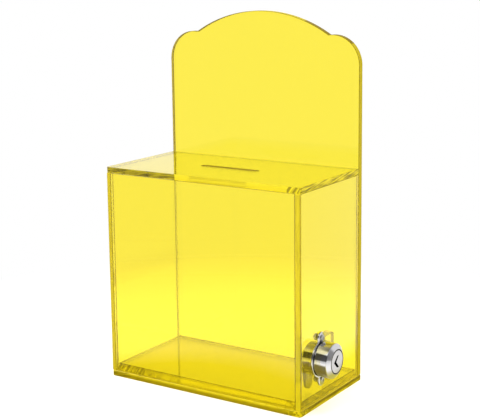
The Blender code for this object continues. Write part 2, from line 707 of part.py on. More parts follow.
def main():
    """Builds the base, the hood that lifts off it and the lock in the hood's right wall."""
    clear_scene()
    build_foot_plate()
    build_inner_plate()
    build_catch()
    hood = make_empty("hood_lift", (0.0, 0.0, HOOD_BOTTOM), (0.0, 0.0, 0.0), None)
    lock_place = (HALF_WIDTH, -LOCK_FORWARD, LOCK_HEIGHT - HOOD_BOTTOM)
    lock = make_empty("lock_axis", lock_place, (0.0, math.radians(90.0), 0.0), hood)
    build_back_panel(hood)
    build_top_plate(hood)
    build_front_wall(hood)
    build_left_wall(hood)
    build_right_wall(hood, lock)
    build_lock_body(lock)
    build_flange_fasteners(lock)
    plug = make_empty("plug_turn", (0.0, 0.0, 0.0), (0.0, 0.0, 0.0), lock)
    build_lock_plug(plug)
    build_stop_washer(plug)
    build_lock_cam(plug)
    build_cam_washer(plug)
    build_cam_screw(plug)


main()
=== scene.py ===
"""Looks of a clear yellow acrylic collection box with a cam lock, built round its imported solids.

Lengths are in metres, +Z is up and -Y is the front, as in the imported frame.
"""

import logging
import math
from collections.abc import Iterable, Iterator, Sequence
from dataclasses import dataclass
from enum import Enum
from functools import reduce

import bmesh
import bpy
from mathutils import Matrix, Vector


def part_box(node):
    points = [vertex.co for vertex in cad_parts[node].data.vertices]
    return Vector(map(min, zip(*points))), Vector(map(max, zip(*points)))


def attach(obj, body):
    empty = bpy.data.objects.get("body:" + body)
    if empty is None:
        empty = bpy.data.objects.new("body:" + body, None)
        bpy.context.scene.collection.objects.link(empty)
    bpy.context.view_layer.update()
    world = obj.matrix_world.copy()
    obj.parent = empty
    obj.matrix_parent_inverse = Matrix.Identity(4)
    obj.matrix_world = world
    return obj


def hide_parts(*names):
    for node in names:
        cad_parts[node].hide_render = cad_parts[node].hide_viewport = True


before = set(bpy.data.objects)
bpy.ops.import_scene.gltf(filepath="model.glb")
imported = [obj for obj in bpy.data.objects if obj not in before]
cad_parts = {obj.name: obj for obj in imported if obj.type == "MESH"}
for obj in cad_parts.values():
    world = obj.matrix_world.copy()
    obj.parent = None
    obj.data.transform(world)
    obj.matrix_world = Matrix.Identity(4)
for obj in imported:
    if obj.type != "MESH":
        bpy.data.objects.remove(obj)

LOG = logging.getLogger("collection_box")
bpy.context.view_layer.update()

Point2 = tuple[float, float]
Point3 = tuple[float, float, float]
Range = tuple[float, float]
Colour = tuple[float, float, float]
Bands = tuple[tuple[float, float], ...]
Material = bpy.types.Material
Piece = bpy.types.Object
Shape = bmesh.types.BMesh
Socket = bpy.types.NodeSocket

MM = 0.001
MERGE_DISTANCE = 0.0005 * MM
SMOOTH_ANGLE = math.radians(30.0)
OVERRUN = 2.0 * MM
AXIS: Point2 = (0.0, 0.0)
UNIT: Range = (0.0, 1.0)
WHITE: Colour = (1.0, 1.0, 1.0)

# A light path's depth is over these once it has met one surface, and once it has met two.
ONE_MET = 0.5
TWO_MET = 1.5

# How far a surface faces along an axis: a polished face at least, an arris about, a side at least.
FACE_LIMIT = 0.9
ARRIS_FACING = math.sqrt(0.5)
ARRIS_SPREAD = 0.06
DOWN_LIMIT = -0.3
SIDE_LIMIT = 0.8


class Body(Enum):
    """The bodies that pieces ride on."""

    BASE = "base"
    HOOD = "hood"
    PLUG = "plug"


class Slot(Enum):
    """The record's material slots."""

    ACRYLIC = "acrylic"
    CHROME = "chrome"
    STEEL = "steel"


class Side(Enum):
    """A side of the box, or an ear of the lock, by its sign."""

    LOW = -1
    HIGH = 1


class Graph:
    """A short way to add and join the nodes of one tree. Numbers and colours may be values or outputs."""

    def __init__(self, tree: bpy.types.NodeTree) -> None:
        """Starts on a tree, which keeps the nodes it has."""
        self.tree = tree

    def feed(self, node: bpy.types.Node, inputs: dict) -> None:
        """Fills a node's inputs.

        Args:
            node: The node.
            inputs: A value, or an output to link, by the input's name or number. A colour has three values.
        """
        for key, value in inputs.items():
            if isinstance(value, Socket):
                self.tree.links.new(value, node.inputs[key])
            else:
                coloured = node.inputs[key].type == "RGBA"
                node.inputs[key].default_value = (*value, 1.0) if coloured else value

    def add(self, kind: str, inputs: dict | None = None, **settings: object) -> bpy.types.Node:
        """Adds a node.

        Args:
            kind: The node's Blender type.
            inputs: What feed is to fill its inputs with.
            **settings: The node's own properties.

        Returns:
            The new node.
        """
        node = self.tree.nodes.new(kind)
        for name, value in settings.items():
            setattr(node, name, value)
        self.feed(node, inputs or {})
        return node

    def math(self, operation: str, *values: object) -> Socket:
        """Adds a Math node and returns its output."""
        return self.add("ShaderNodeMath", dict(enumerate(values)), operation=operation).outputs[0]

    def chain(self, operation: str, values: Iterable[object]) -> Socket:
        """Takes several numbers through one Math operation, two at a time."""
        return reduce(lambda first, second: self.math(operation, first, second), values)

    def times(self, *values: object) -> Socket:
        """Multiplies numbers."""
        return self.chain("MULTIPLY", values)

    def over(self, value: Socket, limit: float) -> Socket:
        """One where a number is over a limit and zero elsewhere."""
        return self.math("GREATER_THAN", value, limit)

    def under(self, value: Socket, limit: float) -> Socket:
        """One where a number is under a limit and zero elsewhere."""
        return self.math("LESS_THAN", value, limit)

    def away(self, value: Socket, middle: float) -> Socket:
        """How far a number lies from a middle, to either side."""
        return self.math("ABSOLUTE", self.math("SUBTRACT", value, middle))

    def split(self, vector: Socket) -> bpy.types.NodeOutputs:
        """A vector's parts, by axis name or number."""
        return self.add("ShaderNodeSeparateXYZ", {0: vector}).outputs

    def dot(self, vector: Socket, factors: Sequence[float]) -> Socket:
        """A vector's dot product with fixed factors."""
        inputs = {0: vector, 1: factors}
        return self.add("ShaderNodeVectorMath", inputs, operation="DOT_PRODUCT").outputs["Value"]

    def remap(self, value: Socket, source: Range, target: Range = UNIT) -> Socket:
        """Maps one range of a number to another and holds it at both ends."""
        names = ("Value", "From Min", "From Max", "To Min", "To Max")
        return self.add("ShaderNodeMapRange", dict(zip(names, (value, *source, *target)))).outputs["Result"]

    def blend(self, share: Socket, first: object, second: object) -> Socket:
        """Mixes two numbers."""
        return self.add("ShaderNodeMix", {0: share, 2: first, 3: second}, data_type="FLOAT").outputs[0]

    def mix(self, share: object, first: object, second: object, kind: str = "MIX") -> Socket:
        """Mixes two colours."""
        inputs = {0: share, 6: first, 7: second}
        return self.add("ShaderNodeMix", inputs, data_type="RGBA", blend_type=kind).outputs[2]

    def noise(self, place: Socket, scale: float, detail: float = 2.0) -> Socket:
        """A cloudy noise, mostly near a half."""
        inputs = {"Vector": place, "Scale": scale, "Detail": detail}
        return self.add("ShaderNodeTexNoise", inputs).outputs["Fac"]

    def bump(self, height: Socket, strength: float, depth: float) -> Socket:
        """Where a surface faces once it has a fine relief."""
        inputs = {"Height": height, "Strength": strength, "Distance": depth}
        return self.add("ShaderNodeBump", inputs).outputs["Normal"]

    def ramp(self, value: Socket, stops: Sequence[tuple[float, Colour]]) -> Socket:
        """Reads a colour off a ramp.

        Args:
            value: Where on the ramp, from 0 to 1.
            stops: A place on the ramp and its colour each, in order.

        Returns:
            The colour.
        """
        node = self.add("ShaderNodeValToRGB", {"Fac": value})
        elements = node.color_ramp.elements
        while len(elements) < len(stops):
            elements.new(0.5)
        for element, (position, colour) in zip(elements, stops):
            element.position = position
            element.color = (*colour, 1.0)
        return node.outputs["Color"]

    def glow(self, colour: Colour, strength: float = 1.0) -> Socket:
        """A surface that gives off light."""
        return self.add("ShaderNodeEmission", {"Color": colour, "Strength": strength}).outputs[0]

    def layer(self, share: Socket, first: Socket, second: Socket) -> Socket:
        """Mixes two surfaces."""
        return self.add("ShaderNodeMixShader", {0: share, 1: first, 2: second}).outputs[0]


def new_material(name: str) -> tuple[Material, Graph, bpy.types.Node, bpy.types.Node]:
    """Makes an empty node material.

    Args:
        name: The material's name.

    Returns:
        The material, its graph, its Principled shader and its output.
    """
    material = bpy.data.materials.new(name)
    material.use_nodes = True
    nodes = material.node_tree.nodes
    return material, Graph(material.node_tree), nodes["Principled BSDF"], nodes["Material Output"]


def linked(name: str, data: bpy.types.ID) -> Piece:
    """Puts a mesh, a lamp's light or a camera's lens into the scene.

    Args:
        name: The object's name.
        data: What it holds.

    Returns:
        The object, at the origin.
    """
    item = bpy.data.objects.new(name, data)
    bpy.context.scene.collection.objects.link(item)
    return item


class SheetPlace:
    """Where a point lies on a sheet and which way the surface faces there, as outputs of a graph."""

    def __init__(self, graph: Graph, sheet: str) -> None:
        """Adds the nodes that the looks of one sheet share.

        Args:
            graph: The material's graph.
            sheet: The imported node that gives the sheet's size and which way it faces.
        """
        self.graph = graph
        self.low, self.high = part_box(sheet)
        self.size = self.high - self.low
        self.thin = min(range(3), key=lambda axis: self.size[axis])
        self.place = graph.add("ShaderNodeTexCoord").outputs["Object"]
        self.apart = graph.split(self.place)
        surface = graph.add("ShaderNodeNewGeometry").outputs
        self.inside = surface["Backfacing"]
        self.normal = graph.split(surface["True Normal"])
        self.facing = graph.math("ABSOLUTE", self.normal[self.thin])
        self.insets = [self.inset(axis) for axis in range(3) if axis != self.thin]

    def inset(self, axis: int) -> Socket:
        """How far the point lies in from the nearer edge along an axis."""
        middle, half = (self.low[axis] + self.high[axis]) / 2, self.size[axis] / 2
        return self.graph.math("SUBTRACT", half, self.graph.away(self.apart[axis], middle))

    def sideways(self) -> Socket:
        """How far the surface faces left or right."""
        return self.graph.math("ABSOLUTE", self.normal["X"])

    def through(self, shares: Range) -> Socket:
        """Zero at the first share of the sheet's thickness and one at the second, from its lower face."""
        start, stop = (self.low[self.thin] + self.size[self.thin] * share for share in shares)
        return self.graph.remap(self.apart[self.thin], (start, stop))


@dataclass(frozen=True)
class AcrylicFinish:
    """Clear tinted cast acrylic.

    The dye has a sharp cut-off, so the first sheet takes nearly all that it can and later ones take little.
    Sawn edges are darker than the polished faces, partly as a sawn finish and partly as painted shade, with
    faint saw streaks; the darker patches at a plate's corners and ends are painted shade.
    """

    first_tint: Colour = (1.0, 0.845, 0.045)
    later_tint: Colour = (0.98, 0.965, 0.62)
    passing_tint: Colour = (1.0, 0.985, 0.88)
    pale_in_metal: bool = True
    absorbed: Colour = (0.90, 0.86, 0.10)
    density: float = 6.0
    ior: float = 1.49
    face_gloss: float = 0.5
    haze: Range = (0.0, 0.02)
    haze_range: Range = (0.35, 0.75)
    haze_scale: float = 60.0
    wave_scale: float = 9.0
    wave_depth: float = 0.02 * MM
    wave_strength: float = 0.10
    # The edges' colour, partly a sawn finish and partly painted shade. Where there are two, a turn gives the
    # shares of the thickness between which the painted shade changes.
    edge_low: Colour = (1.0, 0.98, 0.50)
    edge_high: Colour | None = None
    edge_turn: Range = UNIT
    side_turn: Range | None = None
    side_turn_limit: float = 0.6
    # Painted shade: the broken arrises are drawn as dark lines and the cuts inside a sheet as dark faces.
    arris_painted_shade: Colour = (0.28, 0.25, 0.08)
    cut_painted_shade: Colour = (0.26, 0.22, 0.10)
    cut_inset: float = 8.0 * MM
    edge_clearness: float = 0.45
    frosted_inside: bool = True
    # A range says which part of a noise turns a place from its darkest shade to its lightest.
    streak_shade: float = 0.90
    streak_range: Range = (0.38, 0.62)
    streak_fineness: float = 900.0
    streak_lengthening: float = 45.0
    streak_slope: float = 0.16
    streak_depths: Point3 = (1.0, 1.04, 2.0)
    # Painted shade, with painted glints in the mosaic: banded sides, dark corners, a dark left end, dark bars
    # at the ends and a mosaic at the front right corner.
    side_shade: float = 0.90
    side_range: Range = (0.44, 0.58)
    side_rise: float = 0.0
    corner_reach: float = 0.0
    corner_core: float = 0.6
    corner_shade: float = 0.5
    corner_range: Range = (0.42, 0.58)
    left_reach: float = 0.0
    left_shade: Range = (0.12, 0.44)
    left_range: Range = (0.40, 0.60)
    facet_reach: Range = (0.0, 0.0)
    facet_shade: float = 0.45
    facet_range: Range = (0.45, 0.55)
    facet_fineness: float = 330.0
    facet_lean: float = 0.7
    mosaic_reach: float = 0.0
    mosaic_shade: float = 0.35
    mosaic_range: Range = (0.2, 0.8)
    mosaic_fineness: float = 650.0

    def material(self, name: str, sheet: str) -> Material:
        """Makes the acrylic of one sheet.

        Args:
            name: The material's name.
            sheet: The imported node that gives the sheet's size and which way it faces.

        Returns:
            The material.
        """
        material, graph, shader, output = new_material(name)
        at = SheetPlace(graph, sheet)
        path = graph.add("ShaderNodeLightPath").outputs
        later = graph.over(path["Transmission Depth"], TWO_MET)
        tint = graph.mix(later, self.first_tint, self.later_tint)
        off_face = self.off_face(at)
        shade = graph.mix(off_face, WHITE, self.edge_colour(at))
        wave = graph.noise(at.place, self.wave_scale, detail=1.0)
        haze = graph.noise(at.place, self.haze_scale, detail=4.0)
        graph.feed(shader, {
            "Base Color": graph.mix(1.0, tint, shade, "MULTIPLY"),
            "Roughness": graph.remap(haze, self.haze_range, self.haze),
            "IOR": self.ior,
            "Specular IOR Level": graph.remap(off_face, UNIT, (self.face_gloss, 0.0)),
            "Transmission Weight": graph.remap(off_face, UNIT, (1.0, self.edge_clearness)),
            "Normal": graph.bump(wave, self.wave_strength, self.wave_depth),
        })
        passing = path["Is Shadow Ray"]
        if self.pale_in_metal:
            outside = graph.under(path["Transmission Depth"], ONE_MET)
            passing = graph.math("MAXIMUM", passing, graph.times(path["Is Reflection Ray"], outside))
        clear = graph.add("ShaderNodeBsdfTransparent", {"Color": self.passing_tint}).outputs[0]
        dye = graph.add("ShaderNodeVolumeAbsorption", {"Color": self.absorbed, "Density": self.density})
        surface = graph.layer(passing, shader.outputs[0], clear)
        graph.feed(output, {"Surface": surface, "Volume": dye.outputs[0]})
        return material

    def off_face(self, at: SheetPlace) -> Socket:
        """One off the polished faces, zero on them and, where the inside isn't frosted, zero inside."""
        off = at.graph.under(at.facing, FACE_LIMIT)
        return off if self.frosted_inside else at.graph.math("SUBTRACT", off, at.graph.times(off, at.inside))

    @staticmethod
    def on_arris(at: SheetPlace) -> Socket:
        """Finds the broken arrises that don't face down.

        Args:
            at: The place on the sheet.

        Returns:
            One on them and zero elsewhere.
        """
        graph = at.graph
        broken = graph.under(graph.away(at.facing, ARRIS_FACING), ARRIS_SPREAD)
        outward = graph.remap(at.inside, UNIT, (1.0, -1.0))
        return graph.times(broken, graph.over(graph.times(at.normal["Z"], outward), DOWN_LIMIT))

    def mosaic_corner(self, at: SheetPlace) -> Socket:
        """One near the sheet's front right corner and zero elsewhere."""
        right = at.graph.over(at.apart["X"], at.high.x - self.mosaic_reach)
        return at.graph.times(right, at.graph.under(at.apart["Y"], at.low.y + self.mosaic_reach))

    def zones(self, at: SheetPlace, noise: Socket) -> Iterator[tuple[Socket, Socket]]:
        """Finds the parts of the sawn edges that get painted shade, each over the ones before it.

        Args:
            at: The place on the sheet.
            noise: The streaks' noise.

        Yields:
            One in the part and zero outside it, and how light the edge is there.
        """
        graph, thin = at.graph, at.thin
        if self.side_shade < self.streak_shade:
            side = graph.math("SUBTRACT", graph.over(at.sideways(), SIDE_LIMIT), at.inside)
            above = graph.math("SUBTRACT", at.apart[thin], (at.low[thin] + at.high[thin]) / 2)
            banded = graph.math("ADD", noise, graph.times(above, self.side_rise / at.size[thin]))
            yield side, graph.remap(banded, self.side_range, (self.side_shade, 1.0))
        if self.corner_reach > 0.0:
            reach = (self.corner_reach, self.corner_reach * self.corner_core)
            near = graph.remap(graph.math("ADD", *at.insets), reach)
            yield near, graph.remap(noise, self.corner_range, (self.corner_shade, 1.0))
        if self.left_reach > 0.0:
            end = graph.under(at.apart["X"], at.low.x + self.left_reach)
            yield end, graph.remap(noise, self.left_range, self.left_shade)
        if max(self.facet_reach) > 0.0:
            first = graph.under(at.apart["X"], at.low.x + self.facet_reach[0])
            last = graph.over(at.apart["X"], at.high.x - self.facet_reach[1])
            ends = graph.times(graph.math("MAXIMUM", first, last), graph.under(at.sideways(), SIDE_LIMIT))
            run = [self.facet_fineness * (-self.facet_lean if axis == thin else 1.0) for axis in range(3)]
            inputs = {"W": graph.dot(at.place, run), "Scale": 1.0, "Detail": 1.0}
            bars = graph.add("ShaderNodeTexNoise", inputs, noise_dimensions="1D").outputs["Fac"]
            yield ends, graph.remap(bars, self.facet_range, (self.facet_shade, 1.0))
        if self.mosaic_reach > 0.0:
            inputs = {"Vector": at.place, "Scale": self.mosaic_fineness}
            cells = graph.add("ShaderNodeTexVoronoi", inputs).outputs["Color"]
            cells = graph.add("ShaderNodeSeparateColor", {0: cells}).outputs[0]
            yield self.mosaic_corner(at), graph.remap(cells, self.mosaic_range, (self.mosaic_shade, 1.0))

    def streaks(self, at: SheetPlace) -> Socket:
        """Finds how light the edges are: saw streaks, with the painted shade of the zones over them.

        Args:
            at: The place on the sheet.

        Returns:
            One where an edge is clearest and less where it is streaked or given painted shade.
        """
        graph = at.graph
        lean = [self.streak_fineness * (1.0 if axis == at.thin else -self.streak_slope) for axis in range(3)]
        run = [self.streak_lengthening] * 3
        inputs = {0: graph.dot(at.place, lean), 1: graph.dot(at.place, run)}
        noise = graph.noise(graph.add("ShaderNodeCombineXYZ", inputs).outputs[0], scale=1.0)
        light = graph.remap(noise, self.streak_range, (self.streak_shade, 1.0))
        for part, shade in self.zones(at, noise):
            light = graph.blend(part, light, shade)
        return light

    def edge_colour(self, at: SheetPlace) -> Socket:
        """Colours the sawn edges, their broken arrises and the cuts inside the sheet, with painted shade and
        painted highlight.

        Args:
            at: The place on the sheet.

        Returns:
            The colour.
        """
        graph = at.graph
        plain, arris = self.edge_low, self.arris_painted_shade
        if self.edge_high is not None:
            # Painted shade: the edge turns from its lower colour to its higher one through the thickness, and
            # on the sides by their own turn.
            level = at.through(self.edge_turn)
            if self.side_turn is not None:
                side = graph.over(at.sideways(), self.side_turn_limit)
                level = graph.blend(side, level, at.through(self.side_turn))
                arris = graph.mix(side, arris, self.edge_low)
            # Painted highlight: the front right corner takes the higher edge colour.
            if self.mosaic_reach > 0.0:
                level = graph.math("MAXIMUM", level, self.mosaic_corner(at))
            plain = graph.mix(level, self.edge_low, self.edge_high)
        light = self.streaks(at)
        deeper = [graph.math("POWER", light, power) for power in self.streak_depths]
        tone = graph.add("ShaderNodeCombineColor", dict(enumerate(deeper))).outputs[0]
        edge = graph.mix(1.0, graph.mix(self.on_arris(at), plain, arris), tone, "MULTIPLY")
        inner = graph.over(graph.math("MINIMUM", *at.insets), self.cut_inset)
        return graph.mix(inner, edge, self.cut_painted_shade)


@dataclass(frozen=True)
class Groove:
    """A groove round the lock's axis, by its reach along the axis and across it."""

    along: Range
    across: Range


@dataclass(frozen=True)
class ChromeFinish:
    """Bright chrome plate, with turning marks round one axis and painted shade in its grooves."""

    colour: Colour = (0.66, 0.65, 0.665)
    roughness: Range = (0.05, 0.14)
    cloud_scale: float = 220.0
    cloud_range: Range = (0.3, 0.7)
    mark_scale: float = 1500.0
    mark_waver: float = 1.5
    mark_strength: float = 0.10
    mark_depth: float = 0.02 * MM
    # Painted shade: the share of its colour that the chrome keeps in its grooves and keyway.
    recess_shade: float = 0.10

    def material(self, name: str, centre: Point3, grooves: Sequence[Groove]) -> Material:
        """Makes the plate of one lock piece.

        Args:
            name: The material's name.
            centre: A point on the lock's axis, which runs along X.
            grooves: The grooves that get painted shade.

        Returns:
            The material.
        """
        material, graph, shader, _ = new_material(name)
        place = graph.add("ShaderNodeTexCoord").outputs["Object"]
        inputs = {"Vector": place, "Location": [-value for value in centre]}
        place = graph.add("ShaderNodeMapping", inputs).outputs["Vector"]
        inputs = {"Vector": place, "Scale": self.mark_scale, "Distortion": self.mark_waver, "Detail": 2.0}
        rings = graph.add("ShaderNodeTexWave", inputs, wave_type="RINGS", rings_direction="X").outputs["Fac"]
        cloud = graph.noise(place, self.cloud_scale, detail=5.0)
        unshaded = graph.chain("MINIMUM", [self.outside(graph, place, groove) for groove in grooves])
        recess_colour = [value * self.recess_shade for value in self.colour]
        graph.feed(shader, {
            "Base Color": graph.mix(unshaded, recess_colour, self.colour),
            "Metallic": 1.0,
            "Roughness": graph.remap(cloud, self.cloud_range, self.roughness),
            "Normal": graph.bump(rings, self.mark_strength, self.mark_depth),
        })
        return material

    @staticmethod
    def outside(graph: Graph, place: Socket, groove: Groove) -> Socket:
        """Zero in a groove and one outside it.

        Args:
            graph: The material's graph.
            place: The place, from the lock's centre.
            groove: The groove.

        Returns:
            The share that is left unshaded.
        """
        apart = graph.split(place)
        squares = [graph.times(apart[axis], apart[axis]) for axis in ("Y", "Z")]
        radius = graph.math("SQRT", graph.math("ADD", *squares))
        inside = []
        for value, (low, high) in ((apart["X"], groove.along), (radius, groove.across)):
            inside.append(graph.under(graph.away(value, (low + high) / 2), (high - low) / 2))
        return graph.math("SUBTRACT", 1.0, graph.times(*inside))


@dataclass(frozen=True)
class ZincFinish:
    """Zinc-plated pressed steel, with a grain and a faint change of colour."""

    dull: Colour = (0.50, 0.49, 0.46)
    bright: Colour = (0.66, 0.65, 0.61)
    cloud_scale: float = 160.0
    roughness: Range = (0.22, 0.42)
    grain_range: Range = (0.3, 0.7)
    grain_scale: float = 700.0
    grain_strength: float = 0.15
    grain_depth: float = 0.02 * MM

    def material(self, name: str) -> Material:
        """Makes the plate of one steel piece.

        Args:
            name: The material's name.

        Returns:
            The material.
        """
        material, graph, shader, _ = new_material(name)
        place = graph.add("ShaderNodeTexCoord").outputs["Object"]
        grain = graph.noise(place, self.grain_scale, detail=3.0)
        cloud = graph.noise(place, self.cloud_scale, detail=4.0)
        graph.feed(shader, {
            "Base Color": graph.ramp(cloud, ((0.0, self.dull), (1.0, self.bright))),
            "Metallic": 1.0,
            "Roughness": graph.remap(grain, self.grain_range, self.roughness),
            "Normal": graph.bump(grain, self.grain_strength, self.grain_depth),
        })
        return material


@dataclass(frozen=True)
class Lamp:
    """A soft square lamp, by its name, place, side and power in watts."""

    name: str
    place: Point3
    size: float
    power: float

    def hang(self, aim_height: float) -> None:
        """Hangs the lamp, itself out of sight.

        Args:
            aim_height: The height over the box's middle that it is aimed at.
        """
        light = bpy.data.lights.new(self.name, "AREA")
        light.shape = "SQUARE"
        light.size = self.size
        light.energy = self.power
        lamp = linked(self.name, light)
        away = Vector(self.place) - Vector((0.0, 0.0, aim_height))
        pointing = away.to_track_quat("Z", "Y").to_matrix().to_4x4()
        lamp.matrix_world = Matrix.Translation(self.place) @ pointing
        lamp.visible_camera = lamp.visible_transmission = lamp.visible_glossy = False


@dataclass
class Studio:
    """The camera, the pale floor, the white surroundings and the soft lamps."""

    azimuth: float = 33.2722
    elevation: float = 9.9531
    roll: float = -0.6556
    distance: float = 1.0387685
    aim_right: float = 0.0064628
    aim_up: float = 0.1928914
    focal_pixels: float = 1178.5436
    image_width: int = 480
    drop_pixels: float = 41.54
    sensor_width: float = 36.0
    light_bounces: int = 48
    lamps: tuple[Lamp, ...] = (
        Lamp("key_lamp", (-0.9, -1.1, 1.2), 0.9, 14.0),
        Lamp("fill_lamp", (1.3, -0.6, 0.8), 0.8, 6.0),
        Lamp("top_lamp", (0.1, 0.3, 1.6), 1.0, 10.0),
    )
    ambient: float = 0.72
    # Seen in metal alone: pairs of an elevation in degrees and how bright the surroundings are there.
    behind_bands: Bands = (
        (-90.0, 1.0), (0.0, 1.0), (22.0, 1.0), (36.0, 0.5), (50.0, 0.7), (70.0, 0.3), (90.0, 0.25)
    )
    ahead_bands: Bands = (
        (-90.0, 1.0), (0.0, 1.0), (8.0, 0.10), (40.0, 0.08), (45.0, 1.3), (58.0, 1.3), (64.0, 0.2), (90.0, 0.25)
    )
    ahead_turn: Range = (0.15, -0.35)
    panel_turn: Range = (0.76, 0.86)
    panel_shade: float = 0.35
    floor_radius: float = 1.2
    floor_sides: int = 96
    floor_drop: float = 0.05 * MM
    floor_colour: Colour = (0.86, 0.86, 0.85)
    floor_grain: float = 30.0
    floor_roughness: Range = (0.55, 0.7)
    near_glow: float = 0.25
    white_reach: Range = (0.20, 0.45)
    # Painted shadow and painted cast light: glowing patches on the floor that metal alone sees.
    painted_shadow_colour: Colour = (0.30, 0.26, 0.10)
    dim_reach: Range = (0.17, 0.13)
    dim_forward: Range = (0.0, -0.04)
    painted_cast_colour: Colour = (0.80, 0.72, 0.15)
    cast_start: float = 0.1
    cast_reach: Range = (0.135, 0.165)

    def build(self) -> None:
        """Builds the whole studio."""
        self.add_camera()
        self.add_world()
        self.add_floor()
        for lamp in self.lamps:
            lamp.hang(self.aim_up)
        bpy.context.scene.view_settings.view_transform = "Standard"
        cycles = bpy.context.scene.cycles
        cycles.max_bounces = cycles.glossy_bounces = cycles.transmission_bounces = self.light_bounces

    def add_camera(self) -> None:
        """Stands the camera where the photograph was taken from."""
        turn, lift, roll = (math.radians(angle) for angle in (self.azimuth, self.elevation, self.roll))
        back = Vector((math.sin(turn) * math.cos(lift), -math.cos(turn) * math.cos(lift), math.sin(lift)))
        right = Vector((math.cos(turn), math.sin(turn), 0.0))
        up = back.cross(right)
        tilted_right = right * math.cos(roll) + up * math.sin(roll)
        tilted_up = up * math.cos(roll) - right * math.sin(roll)
        aim = self.aim_right * right + Vector((0.0, 0.0, self.aim_up))
        lens = bpy.data.cameras.new("camera")
        lens.sensor_width = self.sensor_width
        lens.lens = self.focal_pixels * self.sensor_width / self.image_width
        lens.shift_y = -self.drop_pixels / self.image_width
        camera = linked("camera", lens)
        pointing = Matrix((tilted_right, tilted_up, back)).transposed().to_4x4()
        camera.matrix_world = Matrix.Translation(aim + back * self.distance) @ pointing
        bpy.context.scene.camera = camera

    def add_world(self) -> None:
        """Surrounds the box with white for sight and glass, bands for metal, and soft grey light."""
        world = bpy.data.worlds.new("studio")
        world.use_nodes = True
        graph = Graph(world.node_tree)
        graph.tree.nodes.clear()
        path = graph.add("ShaderNodeLightPath").outputs
        apart = graph.split(graph.add("ShaderNodeTexCoord").outputs["Generated"])
        height = graph.remap(apart["Z"], (-1.0, 1.0))
        bands = []
        for stops in (self.behind_bands, self.ahead_bands):
            heights = [(math.sin(math.radians(elevation)) + 1.0) / 2 for elevation, _ in stops]
            greys = [(brightness,) * 3 for _, brightness in stops]
            bands.append(graph.ramp(height, list(zip(heights, greys))))
        mirrored = graph.blend(graph.remap(apart["Y"], self.ahead_turn), *bands)
        mirrored = graph.times(mirrored, graph.remap(apart["X"], self.panel_turn, (1.0, self.panel_shade)))
        glass = graph.blend(graph.over(path["Glossy Depth"], ONE_MET), 1.0, mirrored)
        lit = graph.math("MAXIMUM", path["Is Glossy Ray"], path["Is Transmission Ray"])
        seen = graph.blend(path["Is Camera Ray"], graph.blend(lit, self.ambient, glass), 1.0)
        sky = graph.add("ShaderNodeBackground", {"Color": WHITE, "Strength": seen})
        graph.add("ShaderNodeOutputWorld", {"Surface": sky.outputs[0]})
        bpy.context.scene.world = world

    def add_floor(self) -> None:
        """Lays the round white floor."""
        mesh = bpy.data.meshes.new("floor")
        shape = bmesh.new()
        bmesh.ops.create_circle(shape, cap_ends=True, radius=self.floor_radius, segments=self.floor_sides)
        shape.to_mesh(mesh)
        shape.free()
        floor = linked("floor", mesh)
        floor.location.z = -self.floor_drop
        mesh.materials.append(self.floor_material())

    def floor_material(self) -> Material:
        """Makes a floor that keeps the box's shadow near it and is plain white further out.

        Metal alone sees a painted shadow on it in front of the box and a painted yellow cast of light at its
        right, as glowing patches.

        Returns:
            The material.
        """
        material, graph, shader, output = new_material("floor")
        place = graph.add("ShaderNodeTexCoord").outputs["Object"]
        apart = graph.split(place)
        rough = graph.remap(graph.noise(place, self.floor_grain), UNIT, self.floor_roughness)
        graph.feed(shader, {"Base Color": self.floor_colour, "Roughness": rough})
        reach = graph.add("ShaderNodeVectorMath", {0: place}, operation="LENGTH").outputs["Value"]
        inputs = {0: shader.outputs[0], 1: graph.glow(WHITE, self.near_glow)}
        near = graph.add("ShaderNodeAddShader", inputs).outputs[0]
        shown = graph.layer(graph.remap(reach, self.white_reach), near, graph.glow(WHITE))
        path = graph.add("ShaderNodeLightPath").outputs
        mirrored = graph.over(path["Glossy Depth"], ONE_MET)
        ahead = graph.times(graph.remap(reach, self.dim_reach), graph.remap(apart["Y"], self.dim_forward))
        beside = graph.remap(apart["X"], self.cast_reach, (1.0, 0.0))
        beside = graph.times(beside, graph.over(apart["X"], self.cast_start))
        for patch, colour in ((ahead, self.painted_shadow_colour), (beside, self.painted_cast_colour)):
            shown = graph.layer(graph.times(mirrored, patch), shown, graph.glow(colour))
        kinds = ("Is Camera Ray", "Is Transmission Ray", "Is Glossy Ray")
        seen = graph.chain("MAXIMUM", [path[kind] for kind in kinds])
        graph.feed(output, {"Surface": graph.layer(seen, shader.outputs[0], shown)})
        return material


def arc(centre: Point2, radius: float, start: float, end: float, steps: int) -> list[Point2]:
    """Points along an arc from one angle in degrees to another, both ends included."""
    angles = [math.radians(start + (end - start) * step / steps) for step in range(steps + 1)]
    return [(centre[0] + radius * math.cos(a), centre[1] + radius * math.sin(a)) for a in angles]


def circle(radius: float, steps: int, centre: Point2 = AXIS) -> list[Point2]:
    """Points round a whole circle, each once."""
    return arc(centre, radius, 0.0, 360.0, steps)[:-1]


def piece_from(shape: Shape, name: str, place: Matrix | None = None) -> Piece:
    """Turns a closed shape into a piece with outward faces and smooth rounds.

    Args:
        shape: The shape, which is used up.
        name: The piece's name.
        place: Where the shape's own frame stands, put into the mesh.

    Returns:
        The linked piece, at the origin.
    """
    bmesh.ops.remove_doubles(shape, verts=shape.verts, dist=MERGE_DISTANCE)
    if place is not None:
        shape.transform(place)
    bmesh.ops.recalc_face_normals(shape, faces=shape.faces)
    mesh = bpy.data.meshes.new(name)
    shape.to_mesh(mesh)
    shape.free()
    smooth(mesh)
    return linked(name, mesh)


def smooth(mesh: bpy.types.Mesh) -> None:
    """Shades a mesh's rounds smooth and leaves its corners sharp."""
    mesh.shade_smooth()
    mesh.set_sharp_from_angle(angle=SMOOTH_ANGLE)


